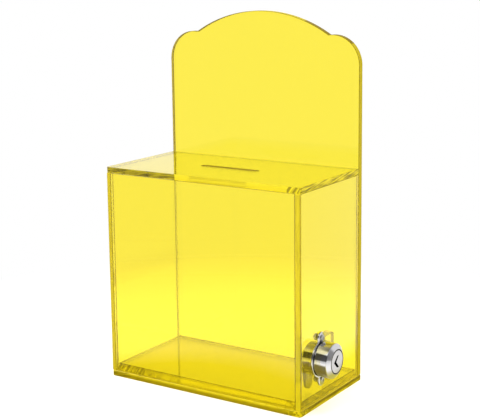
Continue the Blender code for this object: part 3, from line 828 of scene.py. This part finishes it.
def extruded(loops: Sequence[Sequence[Point2]], low: float, high: float) -> Shape:
    """A plate with its outline and any holes, drawn in X and Y and raised along Z.

    Args:
        loops: The outline and the holes' outlines.
        low: The height of its lower face.
        high: The height of its upper face.

    Returns:
        The closed shape.
    """
    shape = bmesh.new()
    edges = []
    for loop in loops:
        ring = [shape.verts.new((x, y, low)) for x, y in loop]
        edges += [shape.edges.new((ring[i - 1], ring[i])) for i in range(len(ring))]
    bmesh.ops.triangle_fill(shape, use_beauty=True, use_dissolve=len(loops) == 1, edges=edges)
    grown = bmesh.ops.extrude_face_region(shape, geom=list(shape.faces))
    lifted = [item for item in grown["geom"] if isinstance(item, bmesh.types.BMVert)]
    bmesh.ops.translate(shape, verts=lifted, vec=(0.0, 0.0, high - low))
    return shape


def turned(profile: Sequence[Point2], steps: int) -> Shape:
    """A round shape from a closed profile of (radius, height) points, spun round Z.

    Args:
        profile: The profile, from the axis and back to it.
        steps: How many facets go round.

    Returns:
        The closed shape.
    """
    shape = bmesh.new()
    corners = [shape.verts.new((radius, 0.0, height)) for radius, height in profile]
    edges = [shape.edges.new((corners[i - 1], corners[i])) for i in range(1, len(corners))]
    bmesh.ops.spin(
        shape, geom=corners + edges, cent=(0.0, 0.0, 0.0), axis=(0.0, 0.0, 1.0),
        angle=math.tau, steps=steps, use_merge=True,
    )
    return shape


def rounded(corners: Sequence[tuple[float, float, float]], steps: int = 4) -> list[Point2]:
    """A profile with its corners rounded.

    Args:
        corners: The sharp corners in order, each with its radius or zero; both ends stay as they are.
        steps: How many stretches each round has.

    Returns:
        The rounded profile.
    """
    profile = [corner[:2] for corner in corners]
    points = []
    for i, (x, y, radius) in enumerate(corners):
        if radius <= 0.0:
            points.append((x, y))
            continue
        corner = Vector((x, y))
        towards = (Vector(profile[i - 1]) - corner).normalized()
        away = (Vector(profile[i + 1]) - corner).normalized()
        half = towards.angle(away) / 2
        reach = radius / math.tan(half)
        start = corner + towards * reach
        end = corner + away * reach
        centre = corner + (towards + away).normalized() * radius / math.sin(half)
        for step in range(steps + 1):
            spoke = (start - centre).lerp(end - centre, step / steps).normalized()
            points.append(tuple(centre + spoke * radius))
    return points


def boolean(piece: Piece, other: Shape, operation: str, place: Matrix) -> None:
    """Cuts a shape out of a piece or joins it on, and leaves a plain mesh.

    Args:
        piece: The piece.
        other: The shape, which is used up.
        operation: DIFFERENCE or UNION.
        place: Where the shape's own frame stands.
    """
    tool = piece_from(other, piece.name + "_tool", place)
    modifier = piece.modifiers.new("cut", "BOOLEAN")
    modifier.operation = operation
    modifier.object = tool
    modifier.solver = "EXACT"
    settle(piece)
    bpy.data.objects.remove(tool, do_unlink=True)


def cut(piece: Piece, loop: Sequence[Point2], low: float, high: float, place: Matrix) -> None:
    """Cuts an outline out of a piece, from one height to another in the outline's own frame."""
    boolean(piece, extruded([loop], low, high), "DIFFERENCE", place)


def settle(piece: Piece) -> None:
    """Turns a piece's modifiers into its plain mesh, with the rounds smooth again.

    Args:
        piece: The piece, which keeps no modifier.
    """
    graph = bpy.context.evaluated_depsgraph_get()
    mesh = bpy.data.meshes.new_from_object(piece.evaluated_get(graph))
    piece.modifiers.clear()
    mesh.name = piece.name
    piece.data = mesh
    smooth(mesh)


@dataclass(frozen=True)
class EdgeBreak:
    """How a plate's sharp edges are taken off: by this width, in this many flats."""

    width: float
    flats: int = 1

    def plate(
        self, name: str, loops: Sequence[Sequence[Point2]], low: float, high: float, place: Matrix | None = None
    ) -> Piece:
        """Builds a plate and breaks its edges.

        Args:
            name: The piece's name.
            loops: The outline and the holes' outlines.
            low: The height of its lower face.
            high: The height of its upper face.
            place: Where the outlines' own frame stands.

        Returns:
            The piece, as a plain mesh.
        """
        piece = piece_from(extruded(loops, low, high), name, place)
        bevel = piece.modifiers.new("edge_break", "BEVEL")
        bevel.width = self.width
        bevel.segments = self.flats
        bevel.limit_method = "ANGLE"
        bevel.angle_limit = SMOOTH_ANGLE
        bevel.harden_normals = self.flats > 1
        settle(piece)
        return piece


def dress(piece: Piece, material: Material, body: Body, slot: Slot, *nodes: str) -> None:
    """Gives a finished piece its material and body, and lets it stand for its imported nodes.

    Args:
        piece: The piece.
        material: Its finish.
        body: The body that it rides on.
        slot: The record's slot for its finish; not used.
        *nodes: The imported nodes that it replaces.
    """
    piece.data.materials.clear()
    piece.data.materials.append(material)
    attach(piece, body.value)
    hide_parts(*nodes)
    LOG.info("%s: %d faces, rides on %s", piece.name, len(piece.data.polygons), body.value)


def dress_sheet(piece: Piece, finish: AcrylicFinish, body: Body, node: str) -> None:
    """Gives a sheet its acrylic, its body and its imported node."""
    material = finish.material(piece.name.replace("_sheet", "_acrylic"), node)
    dress(piece, material, body, Slot.ACRYLIC, node)


def dress_node(name: str, material: Material) -> None:
    """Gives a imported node, whose shape is right, its finish.

    Args:
        name: The node's name.
        material: The finish.
    """
    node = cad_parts[name]
    node.data.materials.clear()
    node.data.materials.append(material)
    LOG.info("%s: kept as packed", name)


SHEET_EDGE = EdgeBreak(0.4 * MM)


@dataclass
class Base:
    """The foot plate, the inner plate on it and the catch that the cam turns under."""

    corner_radius: float = 3.0 * MM
    corner_steps: int = 16
    hook_finish: AcrylicFinish = AcrylicFinish(edge_clearness=0.85)
    # Painted shade: the inner plate's sides get dark bands, its ends dark bars and its front right corner a
    # mosaic.
    inner_finish: AcrylicFinish = AcrylicFinish(
        later_tint=(1.0, 0.975, 0.5), absorbed=(0.97, 0.92, 0.10), edge_clearness=0.85,
        streak_fineness=320.0, streak_lengthening=14.0,
        side_shade=0.34, side_range=(0.30, 0.42), side_rise=0.30,
        facet_reach=(30.0 * MM, 12.0 * MM), facet_shade=0.25, mosaic_reach=12.0 * MM,
    )
    # Painted shade and highlight: the foot's edges are dark below and light above, the other way round on its
    # sides, darker at the corners and light in a mosaic at the front right corner.
    foot_finish: AcrylicFinish = AcrylicFinish(
        edge_low=(0.40, 0.36, 0.09), edge_high=(1.0, 0.97, 0.25), arris_painted_shade=(0.90, 0.85, 0.25),
        edge_turn=(0.60, 0.95), side_turn=(0.60, 0.35), streak_fineness=500.0, streak_lengthening=20.0,
        side_shade=0.60, corner_reach=26.0 * MM, mosaic_reach=12.0 * MM,
    )

    def build(self) -> None:
        """Builds and dresses the base."""
        low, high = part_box("foot_plate")
        outline = front_rounded(low, high, self.corner_radius, self.corner_steps)
        plate = SHEET_EDGE.plate("foot_sheet", [outline], low.z, high.z)
        dress_sheet(plate, self.foot_finish, Body.BASE, "foot_plate")
        dress_node("inner_plate", self.inner_finish.material("inner_acrylic", "inner_plate"))
        dress_node("catch_hook", self.hook_finish.material("hook_acrylic", "catch_hook"))


def front_rounded(low: Vector, high: Vector, radius: float, steps: int) -> list[Point2]:
    """A plate's plan with its two front corners rounded.

    Args:
        low: The plate's lowest corner.
        high: Its highest corner.
        radius: The corners' radius.
        steps: How many stretches each round has.

    Returns:
        The outline.
    """
    left = (low.x + radius, low.y + radius)
    right = (high.x - radius, low.y + radius)
    outline = [(high.x, high.y), (low.x, high.y)]
    return outline + arc(left, radius, 180.0, 270.0, steps) + arc(right, radius, 270.0, 360.0, steps)


@dataclass
class Hood:
    """The bonded sheets that lift off the base: back panel with header, top plate and three walls."""

    lobe_radius: float = 26.0 * MM
    notch_inset: float = 30.3 * MM
    notch_drop: float = 20.0 * MM
    corner_radius: float = 3.0 * MM
    wall_corner_radius: float = 2.0 * MM
    slot_length: float = 60.0 * MM
    slot_width: float = 7.0 * MM
    slot_forward: float = 1.5 * MM
    arch_steps: int = 96
    lobe_steps: int = 40
    corner_steps: int = 16
    front_finish: AcrylicFinish = AcrylicFinish(edge_clearness=0.80, streak_shade=1.0)
    # Painted shade: the left wall's edges are darker than the right wall's, and the header's edges darker
    # still.
    right_finish: AcrylicFinish = AcrylicFinish(edge_low=(0.91, 0.88, 0.40))
    left_finish: AcrylicFinish = AcrylicFinish(edge_low=(0.74, 0.70, 0.35))
    header_finish: AcrylicFinish = AcrylicFinish(
        edge_low=(0.62, 0.58, 0.22), edge_clearness=0.2, pale_in_metal=False
    )
    # Painted shade: the lid's edges are lighter towards the top, with dark banded sides, a dark left end and
    # dark bars at its right end.
    lid_finish: AcrylicFinish = AcrylicFinish(
        first_tint=(1.0, 0.845, 0.075), face_gloss=0.38, frosted_inside=False,
        edge_low=(0.92, 0.88, 0.10), edge_high=(1.0, 0.98, 0.25), arris_painted_shade=(0.85, 0.80, 0.15),
        side_shade=0.28, side_range=(0.41, 0.55), left_reach=75.7 * MM, facet_reach=(0.0, 12.6 * MM),
        facet_shade=0.30,
    )

    def build(self) -> None:
        """Builds and dresses the hood's sheets."""
        self.build_back_panel()
        self.build_top_plate()
        for side, name in ((Side.LOW, "left_wall"), (Side.HIGH, "right_wall")):
            self.build_side_wall(side, name)
        dress_node("front_wall", self.front_finish.material("front_acrylic", "front_wall"))

    def header_outline(self, low: Vector, high: Vector) -> list[Point2]:
        """Draws the back panel: straight sides, round lobes and a wide arch between the notches.

        Args:
            low: The panel's lowest corner.
            high: Its highest corner.

        Returns:
            The elevation's outline.
        """
        half = high.x
        notch_x = half - self.notch_inset
        notch_z = high.z - self.notch_drop
        arch_radius = (notch_x**2 + self.notch_drop**2) / (2 * self.notch_drop)
        arch_start = math.degrees(math.asin((notch_z - high.z + arch_radius) / arch_radius))
        rise = math.sqrt(self.lobe_radius**2 - (self.notch_inset - self.lobe_radius) ** 2)
        lobe_end = math.degrees(math.atan2(rise, self.lobe_radius - self.notch_inset))
        right = (half - self.lobe_radius, notch_z - rise)
        left = (-right[0], right[1])
        outline = [(low.x, low.z), (high.x, low.z)]
        outline += arc(right, self.lobe_radius, 0.0, lobe_end, self.lobe_steps)
        middle = (0.0, high.z - arch_radius)
        outline += arc(middle, arch_radius, arch_start, 180.0 - arch_start, self.arch_steps)[1:]
        return outline + arc(left, self.lobe_radius, 180.0 - lobe_end, 180.0, self.lobe_steps)[1:]

    def build_back_panel(self) -> None:
        """Builds the tall back sheet."""
        low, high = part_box("back_panel")
        upright = Matrix.Translation((0.0, high.y, 0.0)) @ Matrix.Rotation(math.radians(90.0), 4, "X")
        outline = self.header_outline(low, high)
        panel = SHEET_EDGE.plate("header_sheet", [outline], 0.0, high.y - low.y, upright)
        dress_sheet(panel, self.header_finish, Body.HOOD, "back_panel")

    def build_top_plate(self) -> None:
        """Builds the lid sheet with the drop slot."""
        low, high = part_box("top_plate")
        outline = front_rounded(low, high, self.corner_radius, self.corner_steps)
        reach = (self.slot_length - self.slot_width) / 2
        middle = (low.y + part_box("back_panel")[0].y) / 2 - self.slot_forward
        slot = arc((reach, middle), self.slot_width / 2, -90.0, 90.0, self.corner_steps)
        slot += arc((-reach, middle), self.slot_width / 2, 90.0, 270.0, self.corner_steps)
        plate = SHEET_EDGE.plate("lid_sheet", [outline, slot], low.z, high.z)
        dress_sheet(plate, self.lid_finish, Body.HOOD, "top_plate")

    def build_side_wall(self, side: Side, name: str) -> None:
        """Builds one side sheet, rounded at its front outer corner; the right one is drilled for the lock.

        Args:
            side: Which side it is.
            name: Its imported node.
        """
        low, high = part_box(name)
        outer, inner, end, finish = low.x, high.x, 180.0, self.left_finish
        if side is Side.HIGH:
            outer, inner, end, finish = high.x, low.x, 360.0, self.right_finish
        centre = (outer - side.value * self.wall_corner_radius, low.y + self.wall_corner_radius)
        outline = [(inner, low.y)] + arc(centre, self.wall_corner_radius, 270.0, end, self.corner_steps)
        outline += [(outer, high.y), (inner, high.y)]
        wall = SHEET_EDGE.plate(name + "_sheet", [outline], low.z, high.z)
        if side is Side.HIGH:
            Lock().drill_wall(wall)
        dress_sheet(wall, finish, Body.HOOD, name)


def thread_tree() -> bpy.types.NodeTree:
    """Makes a Geometry Nodes tree for a threaded shank: a round bar whose skin follows a helix.

    Returns:
        The tree, with named inputs for the shank's sizes and its finish.
    """
    tree = bpy.data.node_groups.new("threaded_shank", "GeometryNodeTree")
    graph = Graph(tree)
    for kind, names in (
        ("Float", ("Radius", "Length", "Pitch", "Depth")), ("Int", ("Sides", "Rows")), ("Material", ("Finish",))
    ):
        for name in names:
            tree.interface.new_socket(name, in_out="INPUT", socket_type="NodeSocket" + kind)
    tree.interface.new_socket("Geometry", in_out="OUTPUT", socket_type="NodeSocketGeometry")
    given = graph.add("NodeGroupInput").outputs
    sizes = {
        "Vertices": given["Sides"], "Side Segments": given["Rows"],
        "Radius": given["Radius"], "Depth": given["Length"],
    }
    bar = graph.add("GeometryNodeMeshCylinder", sizes, fill_type="NGON").outputs["Mesh"]
    apart = graph.split(graph.add("GeometryNodeInputPosition").outputs[0])
    turns = graph.math("DIVIDE", graph.math("ARCTAN2", apart["Y"], apart["X"]), math.tau)
    climbed = graph.math("DIVIDE", apart["Z"], given["Pitch"])
    phase = graph.math("FRACT", graph.math("SUBTRACT", climbed, turns))
    sunk = graph.times(graph.away(graph.times(phase, 2.0), 1.0), given["Depth"])
    share = graph.math("SUBTRACT", 1.0, graph.math("DIVIDE", sunk, given["Radius"]))
    thread = {0: graph.times(apart["X"], share), 1: graph.times(apart["Y"], share), 2: apart["Z"]}
    thread = graph.add("ShaderNodeCombineXYZ", thread).outputs[0]
    wound = graph.add("GeometryNodeSetPosition", {"Geometry": bar, "Position": thread}).outputs[0]
    real = graph.add("GeometryNodeRealizeInstances", {"Geometry": wound}).outputs[0]
    finished = graph.add("GeometryNodeSetMaterial", {"Geometry": real, "Material": given["Finish"]})
    graph.add("NodeGroupOutput", {0: finished.outputs[0]})
    return tree


def grown(tree: bpy.types.NodeTree, name: str, values: dict[str, object]) -> Piece:
    """Runs a Geometry Nodes tree and keeps its result as a plain piece.

    Args:
        tree: The tree.
        name: The piece's name.
        values: The inputs by name.

    Returns:
        The linked piece, with no modifier left.
    """
    piece = linked(name, bpy.data.meshes.new(name))
    modifier = piece.modifiers.new("grown", "NODES")
    modifier.node_group = tree
    for item in tree.interface.items_tree:
        if item.in_out == "INPUT":
            modifier[item.identifier] = values[item.name]
    settle(piece)
    return piece


@dataclass(frozen=True)
class Thread:
    """A rolled thread, by its outer radius, its pitch and its depth."""

    radius: float
    pitch: float
    depth: float


@dataclass
class Screw:
    """A pan-head machine screw with a cross recess and a rolled thread."""

    head_radius: float
    head_height: float
    shank_length: float
    thread: Thread
    dome_share: float = 0.45
    crown_shares: Point2 = (0.5, 0.12)
    brow_shares: Point2 = (0.9, 0.6)
    rim_share: float = 0.8
    seat_round: float = 0.1 * MM
    recess_reach_share: float = 0.62
    recess_arm_share: float = 0.13
    recess_depth_share: float = 0.6
    sides: int = 36
    rows_per_turn: int = 8
    steps: int = 64

    def build(self, name: str, place: Matrix, finish: Material) -> Piece:
        """Builds one screw.

        Args:
            name: The piece's name.
            place: The frame of the head's seat, with the shank along -Z.
            finish: The material of all its faces.

        Returns:
            The screw as one piece.
        """
        radius, height = self.head_radius, self.head_height
        dome = self.dome_share * height
        crown, brow = (
            (radius * out, height - dome * down, dome) for out, down in (self.crown_shares, self.brow_shares)
        )
        rim = (radius, (height - dome) * self.rim_share, dome)
        profile = [(0.0, height, 0.0), crown, brow, rim, (radius, 0.0, self.seat_round), (0.0, 0.0, 0.0)]
        head = piece_from(turned(rounded(profile), self.steps), name, place)
        recess = cross(self.recess_reach_share * radius, self.recess_arm_share * radius)
        cut(head, recess, height * (1.0 - self.recess_depth_share), height + OVERRUN, place)
        turns = self.shank_length / self.thread.pitch
        values = {
            "Radius": self.thread.radius, "Length": self.shank_length, "Pitch": self.thread.pitch,
            "Depth": self.thread.depth, "Sides": self.sides, "Rows": round(turns * self.rows_per_turn),
            "Finish": finish,
        }
        shank = grown(thread_tree(), name + "_shank", values)
        shank.data.transform(place @ Matrix.Translation((0.0, 0.0, -self.shank_length / 2)))
        shape = bmesh.new()
        for part in (head, shank):
            shape.from_mesh(part.data)
        shape.to_mesh(head.data)
        shape.free()
        bpy.data.objects.remove(shank, do_unlink=True)
        smooth(head.data)
        return head


def cross(reach: float, arm: float) -> list[Point2]:
    """A plus shape, as a cross recess, with arms of this reach and twice this width."""
    quarter, turns = [(reach, -arm), (reach, arm), (arm, arm)], ((1, 0), (0, 1), (-1, 0), (0, -1))
    return [(x * cos - y * sin, x * sin + y * cos) for cos, sin in turns for x, y in quarter]


@dataclass
class Lock:
    """The cam lock in the right wall: body, plug, stop washer, cam and what fixes them."""

    head_radius: float = 15.0 * MM
    head_length: float = 13.9 * MM
    head_shoulder: float = 1.5 * MM
    rim_round: float = 0.9 * MM
    lip_round: float = 0.2 * MM
    cone_lip: float = 0.4 * MM
    housing_chamfer: float = 1.2 * MM
    housing_round: float = 0.3 * MM
    groove_depth: float = 0.8 * MM
    groove_width: float = 1.1 * MM
    groove_round: float = 0.15 * MM
    flange_gap: float = 0.3 * MM
    flange_thickness: float = 1.5 * MM
    flange_margin: float = 1.3 * MM
    flange_edge: EdgeBreak = EdgeBreak(0.4 * MM, 3)
    ear_offset: float = 3.4 * MM
    ear_radius: float = 5.3 * MM
    ear_fillet: float = 1.5 * MM
    ear_hole_radius: float = 1.8 * MM
    plug_face_radius: float = 9.9 * MM
    face_clearance: float = 0.5 * MM
    plug_face_thickness: float = 3.0 * MM
    plug_radius: float = 7.0 * MM
    plug_edge: float = 0.35 * MM
    running_clearance: float = 0.2 * MM
    hole_clearance: float = 0.3 * MM
    keyway_height: float = 10.4 * MM
    keyway_width: float = 3.8 * MM
    keyway_bend: float = 5.0 * MM
    keyway_forward: float = 1.0 * MM
    keyway_top_share: float = 0.7
    keyway_bottom_share: float = 0.85
    keyway_depth: float = 12.0 * MM
    keyway_shadow: float = 0.15 * MM
    keyway_reach: float = 6.6 * MM
    tail_radius: float = 4.5 * MM
    tail_flats: float = 6.5 * MM
    stop_reach: float = 2.4 * MM
    stop_degrees: float = 40.0
    stop_play: float = 2.0
    turn_degrees: float = 90.0
    cam_hub_radius: float = 8.5 * MM
    cam_tip_radius: float = 5.0 * MM
    washer_hole_radius: float = 2.3 * MM
    plate_edge: EdgeBreak = EdgeBreak(0.15 * MM, 2)
    nut_hole_radius: float = 1.6 * MM
    nut_edge: EdgeBreak = EdgeBreak(0.2 * MM, 2)
    ear_thread: Thread = Thread(1.5 * MM, 0.5 * MM, 0.2 * MM)
    cam_thread: Thread = Thread(1.95 * MM, 0.7 * MM, 0.25 * MM)
    steps: int = 144
    small_steps: int = 48
    round_steps: int = 6
    chrome: ChromeFinish = ChromeFinish()
    # Painted shade: the plug's chrome is a darker copy of the body's chrome.
    shaded_plug_chrome: ChromeFinish = ChromeFinish(colour=(0.50, 0.49, 0.51))
    zinc: ZincFinish = ZincFinish()

    def __post_init__(self) -> None:
        """Reads the lock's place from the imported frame; its lengths run out from the wall's outer face."""
        plug_low, plug_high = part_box("lock_plug")
        wall_low, wall_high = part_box("right_wall")
        self.wall = wall_high.x
        self.wall_thickness = wall_high.x - wall_low.x
        self.axis_y = (plug_low.y + plug_high.y) / 2
        self.axis_z = (plug_low.z + plug_high.z) / 2
        self.front = plug_high.x - self.wall
        self.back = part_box("lock_body")[0].x - self.wall
        self.tail_end = plug_low.x - self.wall
        self.stop_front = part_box("stop_washer")[1].x - self.wall
        self.ear_reach = self.head_radius + self.ear_offset
        self.flange_front = self.flange_gap + self.flange_thickness
        self.neck_radius = self.head_radius - self.head_shoulder
        self.centre = (self.wall, self.axis_y, self.axis_z)

    @property
    def place(self) -> Matrix:
        """The lock's frame: its Z runs out of the wall and its X runs down."""
        return Matrix.Translation(self.centre) @ Matrix.Rotation(math.radians(90.0), 4, "Y")

    def drill_wall(self, wall: Piece) -> None:
        """Drills the neck's hole and the two screws' holes.

        Args:
            wall: The right wall.
        """
        low, high = -self.wall_thickness - OVERRUN, OVERRUN
        cut(wall, circle(self.neck_radius + self.hole_clearance, self.steps), low, high, self.place)
        self.drill_ears(wall, low, high)

    def drill_ears(self, piece: Piece, low: float, high: float) -> None:
        """Drills the two flange screws' holes.

        Args:
            piece: The piece to drill.
            low: Where the holes start, out from the wall.
            high: Where they end.
        """
        for ear in Side:
            hole = circle(self.ear_hole_radius, self.small_steps, (ear.value * self.ear_reach, 0.0))
            cut(piece, hole, low, high, self.place)

    def build(self) -> None:
        """Builds and dresses the lock."""
        self.build_body()
        self.build_plug()
        self.build_tail_plates()
        self.build_fasteners()

    def body_profile(self) -> list[Point2]:
        """Draws the cast body's outside.

        Returns:
            The profile, from the middle of its face to the middle of its inner end.
        """
        head, neck, end = self.head_radius, self.neck_radius, self.housing_round
        groove_out = self.flange_front + self.groove_width
        sunk = self.flange_gap + self.flange_thickness / 2
        floor = head - self.groove_depth
        return rounded([
            (0.0, self.front, 0.0),
            (self.plug_face_radius + self.face_clearance + self.cone_lip, self.front, self.lip_round),
            (head, self.head_length, self.rim_round), (head, groove_out, self.groove_round),
            (floor, groove_out, 0.0), (floor, sunk, 0.0), (neck, sunk, 0.0),
            (neck, self.back + self.housing_chamfer, end), (neck - self.housing_chamfer, self.back, end),
            (0.0, self.back, 0.0),
        ], self.round_steps)

    def flange_outline(self) -> list[Point2]:
        """Draws the flange: a disc with a round-ended ear above and below, each filleted into it.

        Returns:
            The outline.
        """
        disc = self.head_radius + self.flange_margin
        fillet_y = self.ear_radius + self.ear_fillet
        fillet_x = math.sqrt((disc + self.ear_fillet) ** 2 - fillet_y**2)
        lean = math.degrees(math.atan2(fillet_y, fillet_x))
        quarter = arc((self.ear_reach, 0.0), self.ear_radius, 0.0, 90.0, self.small_steps // 2)
        quarter += arc((fillet_x, fillet_y), self.ear_fillet, 270.0, 180.0 + lean, self.small_steps // 4)
        quarter += arc(AXIS, disc, lean, 90.0, self.steps // 4)[1:]
        half = quarter + [(-x, y) for x, y in quarter[-2::-1]]
        return half + [(x, -y) for x, y in half[-2:0:-1]]

    def sector(self, hub: float, tab: float, start: float, end: float) -> list[Point2]:
        """A disc with one wider sector, from one angle in degrees to another."""
        return arc(AXIS, tab, start, end, self.small_steps) + arc(AXIS, hub, end, start + 360.0, self.steps)

    def build_body(self) -> None:
        """Builds the cast body: head, eared flange, neck and the window that stops the turn."""
        body = self.flange_edge.plate(
            "lock_casting", [self.flange_outline()], self.flange_gap, self.flange_front, self.place
        )
        boolean(body, turned(self.body_profile(), self.steps), "UNION", self.place)
        face = self.plug_face_radius + self.face_clearance
        bore = self.plug_radius + self.running_clearance
        seat = self.front - self.plug_face_thickness - self.flange_gap
        hollow = [
            (0.0, self.front + OVERRUN), (face, self.front + OVERRUN), (face, seat),
            (bore, seat), (bore, self.back - OVERRUN), (0.0, self.back - OVERRUN),
        ]
        boolean(body, turned(hollow, self.steps), "DIFFERENCE", self.place)
        self.drill_ears(body, self.flange_gap - OVERRUN, self.flange_front + OVERRUN)
        half = self.stop_degrees / 2 + self.stop_play
        reach = self.plug_radius + self.stop_reach + self.hole_clearance
        window = self.sector(bore, reach, 180.0 - half, 180.0 + self.turn_degrees + half)
        cut(body, window, self.back - OVERRUN, self.stop_front + self.flange_gap, self.place)
        finish = self.chrome.material("lock_casting_chrome", self.centre, self.grooves())
        dress(body, finish, Body.HOOD, Slot.CHROME, "lock_body")

    def grooves(self) -> tuple[Groove, ...]:
        """Finds where the chrome gets painted shade.

        Returns:
            The groove behind the head, the one round the plug's face and the inside of the keyway.
        """
        behind = (self.flange_front, self.flange_front + self.groove_width / 3)
        face, edge = self.plug_face_radius, self.plug_edge
        keyway = (self.front - self.keyway_depth - OVERRUN, self.front - self.keyway_shadow)
        return (
            Groove(behind, (self.neck_radius, self.head_radius - edge)),
            Groove(
                (self.front - self.plug_face_thickness, self.front + OVERRUN),
                (face - edge, face + self.face_clearance + edge),
            ),
            Groove(keyway, (-OVERRUN, self.keyway_reach)),
        )

    def keyway(self) -> list[Point2]:
        """Draws the keyway: a slot that bends towards the front at its middle and narrows at both ends.

        Returns:
            The outline.
        """
        reach = self.keyway_height / 2
        half = self.keyway_width / 2
        top = half * self.keyway_top_share
        bottom = half * self.keyway_bottom_share
        middle = -self.keyway_bend / 2 - self.keyway_forward
        end = self.keyway_bend / 2 - self.keyway_forward
        front = [(-reach, end - top), (0.0, middle - half), (reach, end - bottom)]
        return front + [(reach, end + bottom), (0.0, middle + half), (-reach, end + top)]

    def flatted(self, radius: float, flats: float) -> list[Point2]:
        """A round bar with two flats, as the plug's tail or the hole that fits it."""
        half, steps = math.degrees(math.asin(flats / 2 / radius)), self.small_steps // 2
        return arc(AXIS, radius, -half, half, steps) + arc(AXIS, radius, 180.0 - half, 180.0 + half, steps)

    def build_plug(self) -> None:
        """Builds the turning plug with its keyway and flatted tail."""
        face, radius, edge = self.plug_face_radius, self.plug_radius, self.plug_edge
        seat = self.front - self.plug_face_thickness
        shoulder = self.stop_front + self.flange_gap
        profile = rounded([
            (0.0, self.front, 0.0), (face, self.front, edge), (face, seat, 0.0),
            (radius, seat, 0.0), (radius, shoulder, edge), (0.0, shoulder, 0.0),
        ], self.round_steps)
        plug = piece_from(turned(profile, self.steps), "lock_barrel", self.place)
        tail = extruded([self.flatted(self.tail_radius, self.tail_flats)], self.tail_end, shoulder + OVERRUN)
        boolean(plug, tail, "UNION", self.place)
        cut(plug, self.keyway(), self.front - self.keyway_depth, self.front + OVERRUN, self.place)
        finish = self.shaded_plug_chrome.material("lock_barrel_chrome", self.centre, self.grooves())
        dress(plug, finish, Body.PLUG, Slot.CHROME, "lock_plug")

    def span(self, low: Vector, high: Vector) -> Range:
        """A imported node's reach out from the wall, from its box."""
        return low.x - self.wall, high.x - self.wall

    def cam_outline(self, low: Vector) -> list[Point2]:
        """Draws the cam: a hub, a tip below it and straight sides between them.

        Args:
            low: The lowest corner of the cam's box, which the tip reaches.

        Returns:
            The outline.
        """
        tip = self.axis_z - low.z - self.cam_tip_radius
        lean = math.degrees(math.acos((self.cam_hub_radius - self.cam_tip_radius) / tip))
        outline = arc((tip, 0.0), self.cam_tip_radius, -lean, lean, self.small_steps)
        return outline + arc(AXIS, self.cam_hub_radius, lean, 360.0 - lean, self.steps)

    def build_tail_plates(self) -> None:
        """Builds the stop washer, the cam and the plain washer on the plug's tail."""
        hole = self.flatted(self.tail_radius + self.hole_clearance, self.tail_flats + 2 * self.hole_clearance)
        half = self.stop_degrees / 2
        stop = self.sector(self.plug_radius, self.plug_radius + self.stop_reach, 180.0 - half, 180.0 + half)
        cam = self.cam_outline(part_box("lock_cam")[0])
        low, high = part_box("cam_washer")
        ring = circle((high.z - low.z) / 2, self.small_steps)
        eye = circle(self.washer_hole_radius, self.small_steps)
        for node, name, loops in (
            ("stop_washer", "stop_plate", [stop, hole]),
            ("lock_cam", "cam_plate", [cam, hole]),
            ("cam_washer", "washer_plate", [ring, eye]),
        ):
            plate = self.plate_edge.plate(name, loops, *self.span(*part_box(node)), self.place)
            dress(plate, self.zinc.material(name + "_zinc"), Body.PLUG, Slot.STEEL, node)

    def build_fasteners(self) -> None:
        """Builds the flange's screws and nuts and the cam's screw."""
        for ear, name in ((Side.LOW, "upper"), (Side.HIGH, "lower")):
            self.build_flange_pair(ear, name)
        low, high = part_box("cam_screw")
        near, far = self.span(low, high)
        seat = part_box("cam_washer")[0].x - self.flange_gap - self.wall
        screw = Screw((high.z - low.z) / 2, seat - near, far - seat, self.cam_thread)
        finish = self.zinc.material("cam_bolt_zinc")
        place = self.place @ Matrix.Translation((0.0, 0.0, seat)) @ Matrix.Rotation(math.pi, 4, "X")
        dress(screw.build("cam_bolt", place, finish), finish, Body.PLUG, Slot.STEEL, "cam_screw")

    def build_flange_pair(self, ear: Side, name: str) -> None:
        """Builds the screw and the nut of one ear.

        Args:
            ear: Which ear.
            name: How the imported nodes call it.
        """
        place = self.place @ Matrix.Translation((ear.value * self.ear_reach, 0.0, 0.0))
        low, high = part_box("lock_screw_" + name)
        near, far = self.span(low, high)
        seat = self.flange_front + self.flange_gap
        screw = Screw((high.z - low.z) / 2, far - seat, seat - near, self.ear_thread)
        finish = self.zinc.material("ear_screw_" + name + "_zinc")
        piece = screw.build("ear_screw_" + name, place @ Matrix.Translation((0.0, 0.0, seat)), finish)
        dress(piece, finish, Body.HOOD, Slot.STEEL, "lock_screw_" + name)
        low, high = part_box("lock_nut_" + name)
        loops = [circle((high.z - low.z) / 2, 6), circle(self.nut_hole_radius, self.small_steps)]
        nut = self.nut_edge.plate("ear_nut_" + name, loops, *self.span(low, high), place)
        finish = self.zinc.material("ear_nut_" + name + "_zinc")
        dress(nut, finish, Body.HOOD, Slot.STEEL, "lock_nut_" + name)


def main() -> None:
    """Builds the studio and dresses the box, one sub-assembly after another."""
    logging.basicConfig(level=logging.INFO, format="%(message)s")
    Studio().build()
    Base().build()
    Hood().build()
    Lock().build()


if __name__ == "__main__":
    main()
